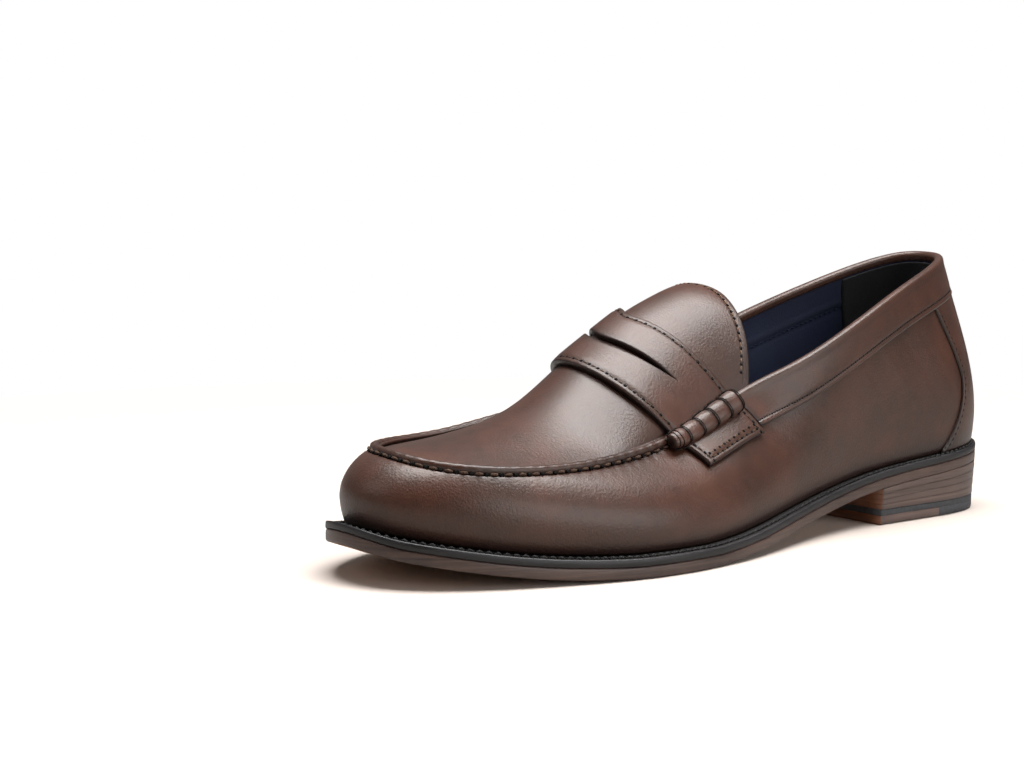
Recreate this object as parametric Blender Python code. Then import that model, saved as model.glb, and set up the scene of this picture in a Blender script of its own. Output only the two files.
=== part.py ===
"""A left penny loafer: welted leather sole, stacked heel, moccasin vamp, apron, saddle strap and tongue.

Lengths are in millimetres and become metres when a mesh is made. +X is the outer (lateral) side of the
shoe, the toe points to -Y, +Z is up, and the origin is on the floor under the middle of the heel.
Round the shoe, a place is a station number: 0 is the back of the heel, 12 the tip of the toe, 0 to 12
run down the lateral side and 12 to 24 come back along the medial side.
"""

import math

import bmesh
import bpy
import numpy as np

MM = 0.001

# ---------------------------------------------------------------- driving dimensions
# Stations: sole outline x, y, then the upper's top edge x, y, z (apron seam in front, topline behind).
STATIONS = np.array([
    (0.0, 38.0, 0.0, 22.4, 103.0),
    (20.0, 31.5, 11.5, 16.4, 102.0),
    (31.0, 11.0, 21.5, -1.0, 98.0),
    (32.5, -22.0, 28.0, -28.0, 89.5),
    (34.5, -55.0, 31.5, -57.0, 77.5),
    (41.0, -88.0, 31.0, -86.0, 65.0),
    (49.5, -118.0, 27.0, -111.0, 55.0),
    (55.0, -147.0, 29.5, -140.0, 42.5),
    (55.5, -175.0, 34.0, -170.0, 37.0),
    (49.5, -203.0, 35.5, -198.0, 35.5),
    (39.0, -232.0, 31.5, -225.5, 36.3),
    (22.5, -256.0, 19.0, -243.0, 38.6),
    (0.0, -265.0, 0.0, -248.5, 41.0),
    (-21.0, -257.5, -17.0, -242.5, 40.7),
    (-35.5, -236.0, -28.5, -226.0, 39.8),
    (-43.0, -207.0, -33.0, -200.5, 40.6),
    (-46.5, -175.0, -33.5, -171.0, 44.5),
    (-44.5, -143.0, -30.0, -140.0, 48.8),
    (-38.0, -108.0, -27.0, -111.0, 58.0),
    (-31.5, -75.0, -29.0, -84.0, 69.0),
    (-29.5, -43.0, -29.5, -54.0, 79.5),
    (-31.0, -10.0, -27.5, -22.0, 89.5),
    (-29.5, 14.0, -20.5, 3.0, 98.0),
    (-19.0, 32.0, -11.5, 18.4, 102.5),
])
LOOP = float(len(STATIONS))
TOE = LOOP / 2

# Underside of the outsole: height at each y, flat under the ball of the foot.
SOLE_Y = (-265.0, -260.0, -250.0, -225.0, -200.0, -180.0, -145.0, -110.0, -75.0, -38.0, 0.0, 38.0)
SOLE_Z = (13.0, 10.6, 8.0, 3.7, 1.0, 0.0, 0.0, 3.4, 8.7, 14.2, 17.6, 21.0)
BREAST_Y = -38.0

# Height of the instep's centre line at each y.
CREST_Y = (-248.5, -240.0, -225.0, -205.0, -185.0, -165.0, -150.0, -135.0, -120.0, -105.0, -95.0)
CREST_Z = (41.0, 41.6, 43.0, 46.2, 52.6, 64.9, 74.3, 83.4, 90.2, 94.2, 93.4)

# The instep's highest line lies towards the medial side, by this share of its half width.
CREST_SHIFT = -0.28

# How far the welt stands out beyond the upper at each y.
MARGIN_Y = (-265.0, -230.0, -170.0, -100.0, -60.0, -20.0, 38.0)
MARGIN = (7.0, 6.5, 6.0, 5.0, 4.2, 3.4, 3.2)

GAP = 0.3                 # air between neighbouring pieces
OUTSOLE = 4.2             # thickness of the leather outsole
WELT_TOP = 7.0            # top of the welt above the outsole's underside
WELT_TUCK = 3.0           # how far the welt runs in under the upper
RIB = 1.8                 # width of the insole rib
INSOLE = 2.2
SOCK = 1.0
LEATHER = 1.5             # upper leather
LINING = 1.0
STIFFENER = 0.8
BAND = 1.2                # collar, backstay
FRONT_TAB = 16.5          # how far a strap end runs down past the seam at its front edge
REAR_TAB = 18.0
SLOT_REACH = 0.71         # how far across the instep the coin slot runs
SLOT_HALF = 0.045         # half its greatest width, as a share of the strap's
BACK_SEAM = 0.02          # station of the vamp's two ends at the back
COLLAR_END = 6.13         # station where the collar meets the strap
COLLAR_WIDTH = 15.0
TOP_PIECE = 6.0           # rubber and leather top piece of the heel
TOP_PIECE_SPLIT = -3.0    # y where the leather front of the top piece meets the rubber
LIFTS = 3
HEIGHTS = np.array([0, 0.18, 0.36, 0.52, 0.66, 0.8, 0.9, 1.0])    # rows of the upper's side
ROLL_RADIUS = 4.2
ROLL_BULGES = 5
NAIL_PLACES = ((18.0, -20.0), (-18.0, -20.0), (19.0, 8.0), (-19.0, 8.0), (0.0, 25.0))
NAIL_RADIUS = 1.0
NAIL_HEAD_RADIUS = 2.0
SHANK_Y = (-112.0, -12.0)
SHANK_HALF_WIDTH = 7.0

LEATHER_BROWN = ("brown_leather", (0.16, 0.085, 0.06), 0.38, 0.0)
LINING_BLUE = ("blue_lining", (0.02, 0.03, 0.07), 0.55, 0.0)
SUEDE_DARK = ("dark_suede", (0.012, 0.012, 0.016), 0.9, 0.0)
SOLE_LEATHER = ("sole_leather", (0.33, 0.15, 0.07), 0.5, 0.0)
WELT_BLACK = ("welt_leather", (0.02, 0.018, 0.018), 0.45, 0.0)
HEEL_LEATHER = ("heel_leather", (0.12, 0.08, 0.07), 0.45, 0.0)
RUBBER = ("rubber", (0.03, 0.03, 0.033), 0.7, 0.0)
BOARD = ("board", (0.45, 0.33, 0.2), 0.8, 0.0)
CORK = ("cork", (0.42, 0.26, 0.13), 0.95, 0.0)
STEEL = ("steel", (0.6, 0.6, 0.62), 0.3, 1.0)
THREAD = ("thread", (0.05, 0.035, 0.03), 0.7, 0.0)


# ---------------------------------------------------------------- curves
def loop_spline(values):
    """A smooth closed curve through the stations' values; it takes station numbers."""
    values = np.asarray(values, float)
    count = len(values)
    circle = 4 * np.eye(count) + np.roll(np.eye(count), 1, 0) + np.roll(np.eye(count), -1, 0)
    bends = 6 * (np.roll(values, -1, 0) - 2 * values + np.roll(values, 1, 0))
    second = np.linalg.solve(circle, bends)

    def at(station):
        station = np.asarray(station, float) % count
        low = np.floor(station).astype(int) % count
        high = (low + 1) % count
        part = (station - np.floor(station))[..., None]
        rest = 1 - part
        return (rest * values[low] + part * values[high]
                + (rest ** 3 - rest) * second[low] / 6 + (part ** 3 - part) * second[high] / 6)

    return at


def open_spline(knots, values):
    """A natural cubic spline through (knot, value) pairs."""
    knots, values = np.asarray(knots, float), np.asarray(values, float)
    step = np.diff(knots)
    count = len(knots)
    matrix, right = np.eye(count), np.zeros(count)
    for i in range(1, count - 1):
        matrix[i, i - 1:i + 2] = step[i - 1], 2 * (step[i - 1] + step[i]), step[i]
        right[i] = 6 * ((values[i + 1] - values[i]) / step[i] - (values[i] - values[i - 1]) / step[i - 1])
    second = np.linalg.solve(matrix, right)

    def at(place):
        place = np.clip(np.asarray(place, float), knots[0], knots[-1])
        i = np.clip(np.searchsorted(knots, place) - 1, 0, count - 2)
        part = (place - knots[i]) / step[i]
        rest = 1 - part
        return (rest * values[i] + part * values[i + 1]
                + step[i] ** 2 * ((rest ** 3 - rest) * second[i] + (part ** 3 - part) * second[i + 1]) / 6)

    return at


def smoothstep(low, high, value):
    part = np.clip((value - low) / (high - low), 0, 1)
    return part * part * (3 - 2 * part)


outline = loop_spline(STATIONS[:, :2])
top_edge = loop_spline(STATIONS[:, 2:])
crest = open_spline(CREST_Y, CREST_Z)
sole_curve = open_spline(SOLE_Y, SOLE_Z)


def sole_bottom(y):
    """Height of the outsole's underside; the spline's small dips below the floor are flattened."""
    flat = (y > SOLE_Y[5]) & (y < SOLE_Y[6])
    return np.where(flat, 0, np.maximum(sole_curve(y), 0))


def margin(y):
    return np.interp(y, MARGIN_Y, MARGIN)


def outward(station):
    """Unit outward direction of the sole outline, in plan."""
    along = outline(station + 0.01) - outline(station - 0.01)
    along /= np.linalg.norm(along, axis=-1, keepdims=True)
    return np.stack([-along[..., 1], along[..., 0]], -1)


def inset_outline(station, inset):
    """The sole outline moved in by inset."""
    return outline(station) - outward(station) * np.asarray(inset)[..., None]


# ---------------------------------------------------------------- the upper's skin
def wall_skin(station, height):
    """A point of the upper's side: height 0 is at the welt, 1 at the top edge."""
    station, height = np.broadcast_arrays(np.asarray(station, float), np.asarray(height, float))
    edge = outline(station)
    out = outward(station)
    foot_plan = edge - out * margin(edge[..., 1])[..., None]
    foot_z = sole_bottom(edge[..., 1]) + WELT_TOP + GAP
    foot = np.concatenate([foot_plan, foot_z[..., None]], -1)
    top = top_edge(station)
    rise = top[..., 2] - foot[..., 2]
    setback = ((foot - top)[..., :2] * out).sum(-1)
    y = edge[..., 1]
    toe_share = 1 - smoothstep(-215, -130, y)
    fore_share = 1 - smoothstep(-150, -70, y)
    heel_share = smoothstep(-20, 30, y)
    low_out = 2.5 + 4.0 * toe_share + 2.2 * heel_share
    low_up = 0.35 + 0.17 * fore_share
    high_out = 2.0 + 3.8 * heel_share + fore_share * (0.6 * setback - 2.0)
    high_down = 0.33 - 0.25 * toe_share
    out3 = np.concatenate([out, np.zeros_like(foot_z)[..., None]], -1)
    up = np.array([0.0, 0.0, 1.0])
    first = foot + out3 * low_out[..., None] + up * (rise * low_up)[..., None]
    second = top + out3 * high_out[..., None] - up * (rise * high_down)[..., None]
    h = height[..., None]
    return (foot * (1 - h) ** 3 + 3 * first * h * (1 - h) ** 2
            + 3 * second * h ** 2 * (1 - h) + top * h ** 3)


def arch_skin(station, across):
    """A point of the instep: across is 1 at the lateral seam, 0 on the crest and -1 at the medial seam."""
    station, across = np.broadcast_arrays(np.asarray(station, float), np.asarray(across, float))
    lateral, medial = top_edge(station), top_edge(LOOP - station)
    share = ((1 + across) / 2)[..., None]
    chord = medial * (1 - share) + lateral * share
    middle = (lateral + medial) / 2
    peak = CREST_SHIFT * smoothstep(-190, -130, middle[..., 1])
    low = crest(middle[..., 1]) - (lateral[..., 2] * (1 + peak) + medial[..., 2] * (1 - peak)) / 2
    from_peak = np.abs(across - peak) / (1 - peak * np.sign(across - peak))
    hollow = 1.7 - 0.7 * smoothstep(-185, -150, middle[..., 1])
    chord[..., 2] += low * np.maximum(1 - from_peak ** 2.2, 0) ** hollow
    return chord


def offset_skin(skin, first, second, offset, turn):
    """A point of a skin moved out along its normal; turn is the normal's sign."""
    step = 1e-3
    across = skin(first + step, second) - skin(first - step, second)
    along = skin(first, second + step) - skin(first, second - step)
    normal = np.cross(across, along) * turn
    normal /= np.linalg.norm(normal, axis=-1, keepdims=True)
    return skin(first, second) + normal * np.asarray(offset, float)[..., None]


def wall(station, height, offset=0.0):
    return offset_skin(wall_skin, station, height, offset, -1)


def arch(station, across, offset=0.0):
    return offset_skin(arch_skin, station, across, offset, 1)


def height_below_top(station, drop):
    """Height share of the point that lies drop millimetres down the wall from its top edge."""
    station, drop = np.broadcast_arrays(np.asarray(station, float), np.asarray(drop, float))
    shares = np.linspace(1, 0, 81)
    found = np.empty(station.shape)
    for place in np.ndindex(station.shape):
        points = wall_skin(np.full(81, station[place]), shares)
        lengths = np.r_[0, np.cumsum(np.linalg.norm(np.diff(points, axis=0), axis=1))]
        found[place] = np.interp(drop[place], lengths, shares)
    return found


def spaced(low, high):
    """Stations from low to high at set places, closer together round the heel and the toe."""
    quarters = np.arange(math.ceil(low * 4), math.floor(high * 4) + 1) / 4
    place = quarters % LOOP
    bent = (np.abs(place - TOE) <= 2) | (place <= 2) | (place >= LOOP - 2)
    kept = quarters[bent | (quarters * 2 % 1 == 0)]
    kept = kept[(kept > low + 0.05) & (kept < high - 0.05)]
    return np.r_[low, kept, high]


def heights_between(low, high):
    """Height shares from low to high at set places."""
    kept = HEIGHTS[(HEIGHTS > low + 0.03) & (HEIGHTS < high - 0.03)]
    return np.r_[low, kept, high]


def seam_inset(station, inset):
    """Plan position inset millimetres inside the upper's top edge."""
    along = (top_edge(station + 0.01) - top_edge(station - 0.01))[..., :2]
    along /= np.linalg.norm(along, axis=-1, keepdims=True)
    out = np.stack([-along[..., 1], along[..., 0]], -1)
    return top_edge(station)[..., :2] - out * inset


def arch_place(plan):
    """Station and place across of the instep's points above the plan positions."""
    lateral = np.linspace(4, TOE, 60)
    station = np.interp(plan[..., 1], top_edge(lateral)[::-1, 1], lateral[::-1])
    across = np.zeros(station.shape)
    step = 1e-4
    for _ in range(12):
        here = arch_skin(station, across)[..., :2]
        by_station = (arch_skin(station + step, across)[..., :2] - here) / step
        by_across = (arch_skin(station, across + step)[..., :2] - here) / step
        miss = plan - here
        size = by_station[..., 0] * by_across[..., 1] - by_station[..., 1] * by_across[..., 0]
        station = station + (miss[..., 0] * by_across[..., 1] - miss[..., 1] * by_across[..., 0]) / size
        across = across + (by_station[..., 0] * miss[..., 1] - by_station[..., 1] * miss[..., 0]) / size
    return station, across


# ---------------------------------------------------------------- meshes
def material(spec):
    name, colour, roughness, metallic = spec
    made = bpy.data.materials.get(name)
    if made is None:
        made = bpy.data.materials.new(name)
        made.use_nodes = True
        shader = made.node_tree.nodes["Principled BSDF"]
        shader.inputs["Base Color"].default_value = (*colour, 1)
        shader.inputs["Roughness"].default_value = roughness
        shader.inputs["Metallic"].default_value = metallic
    return made


def add_object(name, points, faces, spec, parent, smooth=True):
    mesh = bpy.data.meshes.new(name)
    origin = np.array(parent.location) / MM
    mesh.from_pydata([tuple((np.asarray(p) - origin) * MM) for p in points], [], faces)
    mesh.validate()
    shape = bmesh.new()
    shape.from_mesh(mesh)
    bmesh.ops.recalc_face_normals(shape, faces=shape.faces)
    shape.to_mesh(mesh)
    shape.free()
    made = bpy.data.objects.new(name, mesh)
    bpy.context.scene.collection.objects.link(made)
    made.parent = parent
    made.data.materials.append(material(spec))
    if smooth:
        mesh.shade_smooth()
        mesh.set_sharp_from_angle(angle=math.radians(35))
    return made


def sheet(name, outer, inner, spec, parent):
    """A closed solid between two grids of points with the same rows and columns."""
    rows, columns = outer.shape[:2]
    points = np.concatenate([outer.reshape(-1, 3), inner.reshape(-1, 3)])
    under = rows * columns

    def at(row, column, layer):
        return row * columns + column + layer * under

    faces = []
    for r in range(rows - 1):
        for c in range(columns - 1):
            faces.append((at(r, c, 0), at(r, c + 1, 0), at(r + 1, c + 1, 0), at(r + 1, c, 0)))
            faces.append((at(r, c, 1), at(r + 1, c, 1), at(r + 1, c + 1, 1), at(r, c + 1, 1)))
    for r in range(rows - 1):
        for c in (0, columns - 1):
            faces.append((at(r, c, 0), at(r + 1, c, 0), at(r + 1, c, 1), at(r, c, 1)))
    for c in range(columns - 1):
        for r in (0, rows - 1):
            faces.append((at(r, c, 0), at(r, c + 1, 0), at(r, c + 1, 1), at(r, c, 1)))
    return add_object(name, points, faces, spec, parent)


def sweep(name, sections, spec, parent, closed):
    """A closed solid from cross-sections, each a ring of points, one after another."""
    count, around = sections.shape[:2]
    faces = []
    for i in range(count if closed else count - 1):
        after = (i + 1) % count
        for j in range(around):
            side = (j + 1) % around
            faces.append((i * around + j, i * around + side, after * around + side, after * around + j))
    if not closed:
        faces.append(tuple(range(around)))
        faces.append(tuple(range((count - 1) * around, count * around)))
    return add_object(name, sections.reshape(-1, 3), faces, spec, parent)


def wall_sheet(name, first, last, low, high, outer, thick, spec, parent):
    """A layer of the upper's side between two stations and two height shares."""
    grid, heights = np.meshgrid(spaced(first, last), heights_between(low, high), indexing="ij")
    return sheet(name, wall(grid, heights, outer), wall(grid, heights, outer - thick), spec, parent)


def cut(target, cutter):
    made = target.modifiers.new("cut_" + cutter.name, "BOOLEAN")
    made.operation = "DIFFERENCE"
    made.solver = "EXACT"
    made.object = cutter


def as_cutter(made):
    made.hide_render = True
    made.display_type = "WIRE"
    return made


# ---------------------------------------------------------------- sole and heel
def half_widths(y, inset):
    """x of the lateral and the medial side of the outline, moved in by inset, at each y."""
    lateral = np.linspace(0, TOE, 400)
    medial = np.linspace(LOOP, TOE, 400)
    found = []
    for stations in (lateral, medial):
        edge = outline(stations)
        points = inset_outline(stations, np.vectorize(inset)(edge[:, 1]))
        found.append(np.interp(y, points[::-1, 1], points[::-1, 0]))
    return found


def end_eased(low, high, count):
    """Values from low to high, closer together at both ends."""
    return (low + high) / 2 - (high - low) / 2 * np.cos(np.linspace(0, math.pi, count))


def plate(name, ys, inset, low, high, spec, parent):
    """A plate that follows the sole outline, between the heights low(y) and high(y)."""
    lateral, medial = half_widths(ys, inset)
    grids = []
    for height in (high, low):
        z = np.array([float(height(y)) for y in ys])
        grids.append(np.stack([
            np.stack([lateral, ys, z], -1),
            np.stack([(lateral + medial) / 2, ys, z], -1),
            np.stack([medial, ys, z], -1),
        ], 1))
    return sheet(name, grids[0], grids[1], spec, parent)


def ring(name, stations, outer_inset, inner_inset, low, high, spec, parent, closed=True):
    """A band round the sole outline, of rectangular section."""
    y = outline(stations)[:, 1]
    outer = inset_outline(stations, outer_inset(y))
    inner = inset_outline(stations, inner_inset(y))
    corners = []
    for plan, lift in ((outer, low), (outer, high), (inner, high), (inner, low)):
        corners.append(np.concatenate([plan, (sole_bottom(plan[:, 1]) + lift)[:, None]], 1))
    return sweep(name, np.stack(corners, 1), spec, parent, closed)


def cylinders(name, places, radius, low, high, spec, parent, sides=12):
    """Upright cylinders in one mesh; used for cutters."""
    made = bmesh.new()
    for x, y in places:
        added = bmesh.ops.create_cone(
            made, cap_ends=True, segments=sides, radius1=radius * MM, radius2=radius * MM,
            depth=(high - low) * MM)
        bmesh.ops.translate(made, verts=added["verts"], vec=(x * MM, y * MM, (low + high) / 2 * MM))
    mesh = bpy.data.meshes.new(name)
    made.to_mesh(mesh)
    made.free()
    found = bpy.data.objects.new(name, mesh)
    bpy.context.scene.collection.objects.link(found)
    found.parent = parent
    found.data.materials.append(material(spec))
    return found


def build_nails(root):
    """Heel nails, each a shank with a flat head let into the insole, and the cutters for their holes."""
    for number, (x, y) in enumerate(NAIL_PLACES, 1):
        head_top = float(sole_bottom(np.array(y))) + WELT_TOP + INSOLE
        head_low = head_top - 1.0
        profile = ((NAIL_RADIUS, TOP_PIECE + 1.5), (NAIL_RADIUS, head_low),
                   (NAIL_HEAD_RADIUS, head_low + 0.3), (NAIL_HEAD_RADIUS, head_top))
        turn = np.linspace(0, 2 * math.pi, 11)[:-1]
        sections = [np.stack([x + r * np.cos(turn), y + r * np.sin(turn), np.full(10, z)], 1)
                    for r, z in profile]
        sweep(f"heel_nail_{number}", np.stack(sections), STEEL, root, closed=False)
    shank_holes = as_cutter(cylinders(
        "nail_shank_holes", NAIL_PLACES, NAIL_RADIUS + GAP, TOP_PIECE + 1, 60, STEEL, root))
    head_holes = as_cutter(cylinders(
        "nail_head_holes", NAIL_PLACES, NAIL_HEAD_RADIUS + GAP, TOP_PIECE + 1, 60, STEEL, root))
    return shank_holes, head_holes


def build_sole(root, shank_holes, head_holes):
    whole = end_eased(-264.7, 37.7, 31)
    stations = np.linspace(0, LOOP, 57)[:-1]

    outsole = plate("outsole", whole, lambda y: 0.0, sole_bottom, lambda y: sole_bottom(y) + OUTSOLE,
                    SOLE_LEATHER, root)
    cut(outsole, shank_holes)

    ring("welt", stations, lambda y: 0 * y, lambda y: margin(y) + WELT_TUCK,
         OUTSOLE + GAP, WELT_TOP, WELT_BLACK, root)
    rib_out = WELT_TUCK + GAP
    ring("insole_rib", stations, lambda y: margin(y) + rib_out, lambda y: margin(y) + rib_out + RIB,
         OUTSOLE + GAP, WELT_TOP, BOARD, root)
    stitched = np.linspace(3.0, LOOP - 3.0, 49)
    ring("welt_thread", stitched, lambda y: margin(y) * 0.5 - 0.5, lambda y: margin(y) * 0.5 + 0.5,
         WELT_TOP + 3 * GAP, WELT_TOP + 3 * GAP + 0.8, THREAD, root, closed=False)

    filled = end_eased(-246.0, 24.0, 21)
    cork_in = WELT_TUCK + 2 * GAP + RIB
    cork = plate("cork_filler", filled, lambda y: margin(y) + cork_in,
                 lambda y: sole_bottom(y) + OUTSOLE + GAP, lambda y: sole_bottom(y) + WELT_TOP - GAP,
                 CORK, root)
    shank_ys = np.linspace(*SHANK_Y, 8)
    lateral, medial = half_widths(shank_ys, lambda y: 0.0)
    for name, grow, low, high in (("shank", 0.0, OUTSOLE + 2 * GAP, WELT_TOP - 3 * GAP),
                                  ("shank_slot", GAP, -20.0, 40.0)):
        ys = np.linspace(SHANK_Y[0] - grow, SHANK_Y[1] + grow, 8)
        middle = (lateral + medial) / 2
        grids = []
        for lift in (high, low):
            z = sole_bottom(ys) + lift
            grids.append(np.stack([
                np.stack([middle + SHANK_HALF_WIDTH + grow, ys, z], -1),
                np.stack([middle - SHANK_HALF_WIDTH - grow, ys, z], -1),
            ], 1))
        made = sheet(name, grids[0], grids[1], STEEL, root)
        if name == "shank_slot":
            cut(cork, as_cutter(made))
    cut(cork, shank_holes)

    lined = end_eased(-252.0, 30.0, 25)
    inner_in = 4 * GAP + LEATHER + STIFFENER + LINING
    insole = plate("insole", lined, lambda y: margin(y) + inner_in,
                   lambda y: sole_bottom(y) + WELT_TOP + GAP,
                   lambda y: sole_bottom(y) + WELT_TOP + GAP + INSOLE, BOARD, root)
    cut(insole, head_holes)
    plate("sock_liner", lined, lambda y: margin(y) + inner_in,
          lambda y: sole_bottom(y) + WELT_TOP + 2 * GAP + INSOLE,
          lambda y: sole_bottom(y) + WELT_TOP + 2 * GAP + INSOLE + SOCK, LINING_BLUE, root)


def build_heel(root, shank_holes):
    ys = BREAST_Y + (37.7 - BREAST_Y) * np.sin(np.linspace(0, math.pi / 2, 12))

    def lift_level(share):
        return lambda y: TOP_PIECE + (sole_bottom(y) - TOP_PIECE) * share

    for number in range(LIFTS):
        low, high = lift_level(number / LIFTS), lift_level((number + 1) / LIFTS)
        made = plate(f"heel_lift_{number + 1}", ys, lambda y: 0.0,
                     lambda y, f=low: f(y) + GAP / 2, lambda y, f=high: f(y) - GAP, HEEL_LEATHER, root)
        cut(made, shank_holes)

    rubber = plate("top_piece_rubber", ys, lambda y: 0.0, lambda y: 0.0, lambda y: TOP_PIECE - GAP,
                   RUBBER, root)
    half = TOP_PIECE / 2
    notch_ys = np.array([BREAST_Y - 5, TOP_PIECE_SPLIT])
    notch = plate("top_piece_notch", notch_ys, lambda y: -5.0, lambda y: -2.0, lambda y: half, RUBBER, root)
    cut(rubber, as_cutter(notch))
    front = ys[ys < TOP_PIECE_SPLIT - GAP]
    front = np.r_[front, TOP_PIECE_SPLIT - GAP]
    plate("top_piece_leather", front, lambda y: 0.0, lambda y: 0.0, lambda y: half - GAP,
          HEEL_LEATHER, root)


# ---------------------------------------------------------------- upper
def build_vamp(root):
    """The moccasin wall, one piece from the back seam round the toe to the back seam."""
    wall_sheet("vamp", BACK_SEAM, LOOP - BACK_SEAM, 0, 1, 0.0, LEATHER, LEATHER_BROWN, root)


def build_linings(root):
    stiff = -LEATHER - GAP
    deep = stiff - STIFFENER - GAP
    grip = deep - LINING - 2 * GAP
    for name, first, last, low, high, outer, thick, spec in (
            ("vamp_lining", 5.7, LOOP - 5.7, 0, 0.93, deep, LINING, LINING_BLUE),
            ("quarter_lining", -5.66, 5.66, 0, 1, deep, LINING, LINING_BLUE),
            ("heel_grip", -2.9, 2.9, 0.12, 0.97, grip, STIFFENER, SUEDE_DARK),
            ("heel_counter", -3.3, 3.3, 0.02, 0.72, stiff, STIFFENER, BOARD),
            ("toe_puff", 9.4, LOOP - 9.4, 0.02, 0.85, stiff, STIFFENER, BOARD)):
        wall_sheet(name, first, last, low, high, outer, thick, spec, root)


def arch_sheet(name, front_station, rear_station, edge, rows, columns, outer, inner, spec, parent):
    """A layer of the instep between two station curves, each a function of the place across."""
    across = np.linspace(-edge, edge, columns)[None, :]
    share = np.linspace(0, 1, rows)[:, None]
    stations = front_station(across) * (1 - share) + rear_station(across) * share
    grid = np.broadcast_to(across, stations.shape)
    return sheet(name, arch(stations, grid, outer), arch(stations, grid, inner), spec, parent)


def build_apron(root):
    """The apron is gathered to the wall at the seam; it ends under the strap."""
    stations = TOE - 0.25 - (TOE - 0.25 - 7.35) * np.linspace(0, 1, 19)
    across = np.linspace(-1, 1, 9)
    for name, inset, outer, thick, spec in (
            ("apron", 1.5, 0.0, LEATHER, LEATHER_BROWN),
            ("apron_lining", 5.5, -LEATHER - 3 * GAP, LINING, LINING_BLUE)):
        lateral = seam_inset(stations, inset)[:, None]
        medial = seam_inset(LOOP - stations, inset)[:, None]
        share = (1 + across)[None, :, None] / 2
        station, place = arch_place(medial * (1 - share) + lateral * share)
        sheet(name, arch(station, place, outer), arch(station, place, outer - thick), spec, root)


def seam_cord(name, stations, drop, lift, radius, parent):
    """A cord that lies on the wall, drop millimetres below its top edge."""
    heights = height_below_top(stations, drop)
    middle = wall(stations, heights, lift)
    up = wall(stations, heights, lift + 1) - middle
    along = np.gradient(middle, axis=0)
    along /= np.linalg.norm(along, axis=1, keepdims=True)
    side = np.cross(along, up)
    corners = [middle + radius * (a * up + b * side) for a, b in ((1, 0), (0, 1), (-1, 0), (0, -1))]
    return sweep(name, np.stack(corners, 1), THREAD, parent, closed=False)


def strap_front(across):
    from_top = across + 0.1
    return 7.81 - np.where(from_top > 0, 0.49, 0.76) * np.abs(from_top) ** 2.2


def strap_rear(across):
    """The rear edge is swept back to both sides, with a rounded middle."""
    from_top = across + 0.15
    return 6.885 - np.where(from_top > 0, 0.58, 0.89) * np.abs(from_top) ** 1.6


def strap_point(share, girth, offset):
    """A point of the strap: share runs from front to rear edge, girth from -2 to 2, with the seam at 1."""
    side = np.where(girth < 0, -1, 1)
    on_arch = np.clip(girth, -1, 1)
    down = np.clip(np.abs(girth) - 1, 0, 1)
    front = strap_front(on_arch) - 0.3 * down
    rear = strap_rear(on_arch) - 0.38 * down
    station = front * (1 - share) + rear * share
    bridge = arch(station, on_arch, offset)
    sided = np.where(side > 0, station, LOOP - station)
    tab = FRONT_TAB * (1 - share) + REAR_TAB * share
    leg = wall(sided, height_below_top(sided, down * tab), offset)
    return np.where((np.abs(girth) <= 1)[..., None], bridge, leg)


def slotted_sheet(name, outer, inner, slot_row, slot_columns, spec, parent):
    """A sheet whose rows slot_row and slot_row + 1 bound a slot; elsewhere those two rows are one."""
    rows, columns = outer.shape[:2]
    first, last = slot_columns
    points, index = [], {}
    for layer, grid in enumerate((outer, inner)):
        for r in range(rows):
            for c in range(columns):
                joined = r == slot_row + 1 and not first < c < last
                if joined:
                    index[layer, r, c] = index[layer, slot_row, c]
                else:
                    index[layer, r, c] = len(points)
                    points.append(grid[r, c])
    faces = []
    for r in range(rows - 1):
        if r == slot_row:
            continue
        for c in range(columns - 1):
            for layer in (0, 1):
                faces.append([index[layer, r, c], index[layer, r, c + 1],
                              index[layer, r + 1, c + 1], index[layer, r + 1, c]])
        for c in (0, columns - 1):
            faces.append([index[0, r, c], index[0, r + 1, c], index[1, r + 1, c], index[1, r, c]])
    edges = [(r, c) for r in (0, rows - 1) for c in range(columns - 1)]
    edges += [(r, c) for r in (slot_row, slot_row + 1) for c in range(first, last)]
    for r, c in edges:
        faces.append([index[0, r, c], index[0, r, c + 1], index[1, r, c + 1], index[1, r, c]])
    return add_object(name, points, faces, spec, parent)


def build_strap(root):
    """The saddle strap, with its tabs on both sides and the lens-shaped coin slot."""
    arc = np.linspace(-SLOT_REACH, SLOT_REACH, 13)
    end = np.linspace(SLOT_REACH, 0.97, 4)[1:]
    leg = np.linspace(1.03, 2, 5)
    girth = np.r_[-leg[::-1], -end[::-1], arc, end, leg]
    first = len(leg) + len(end)
    lens = np.clip(girth / SLOT_REACH, -1, 1) ** 2
    middle = 0.49 + 0.075 * lens
    half = SLOT_HALF * (1 - lens)
    share = np.stack([0 * girth, middle * 0.5, middle - half, middle + half, (1 + middle) * 0.5,
                      0 * girth + 1])
    girth = np.broadcast_to(girth, share.shape)
    proud = 0.9 * (1 - share) ** 2 * np.clip(1 - girth ** 2, 0, 1)
    outer = strap_point(share, girth, 0.4 + LEATHER + proud)
    inner = strap_point(share, girth, 0.4)
    slotted_sheet("strap", outer, inner, 2, (first, first + len(arc) - 1), LEATHER_BROWN, root)


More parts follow.
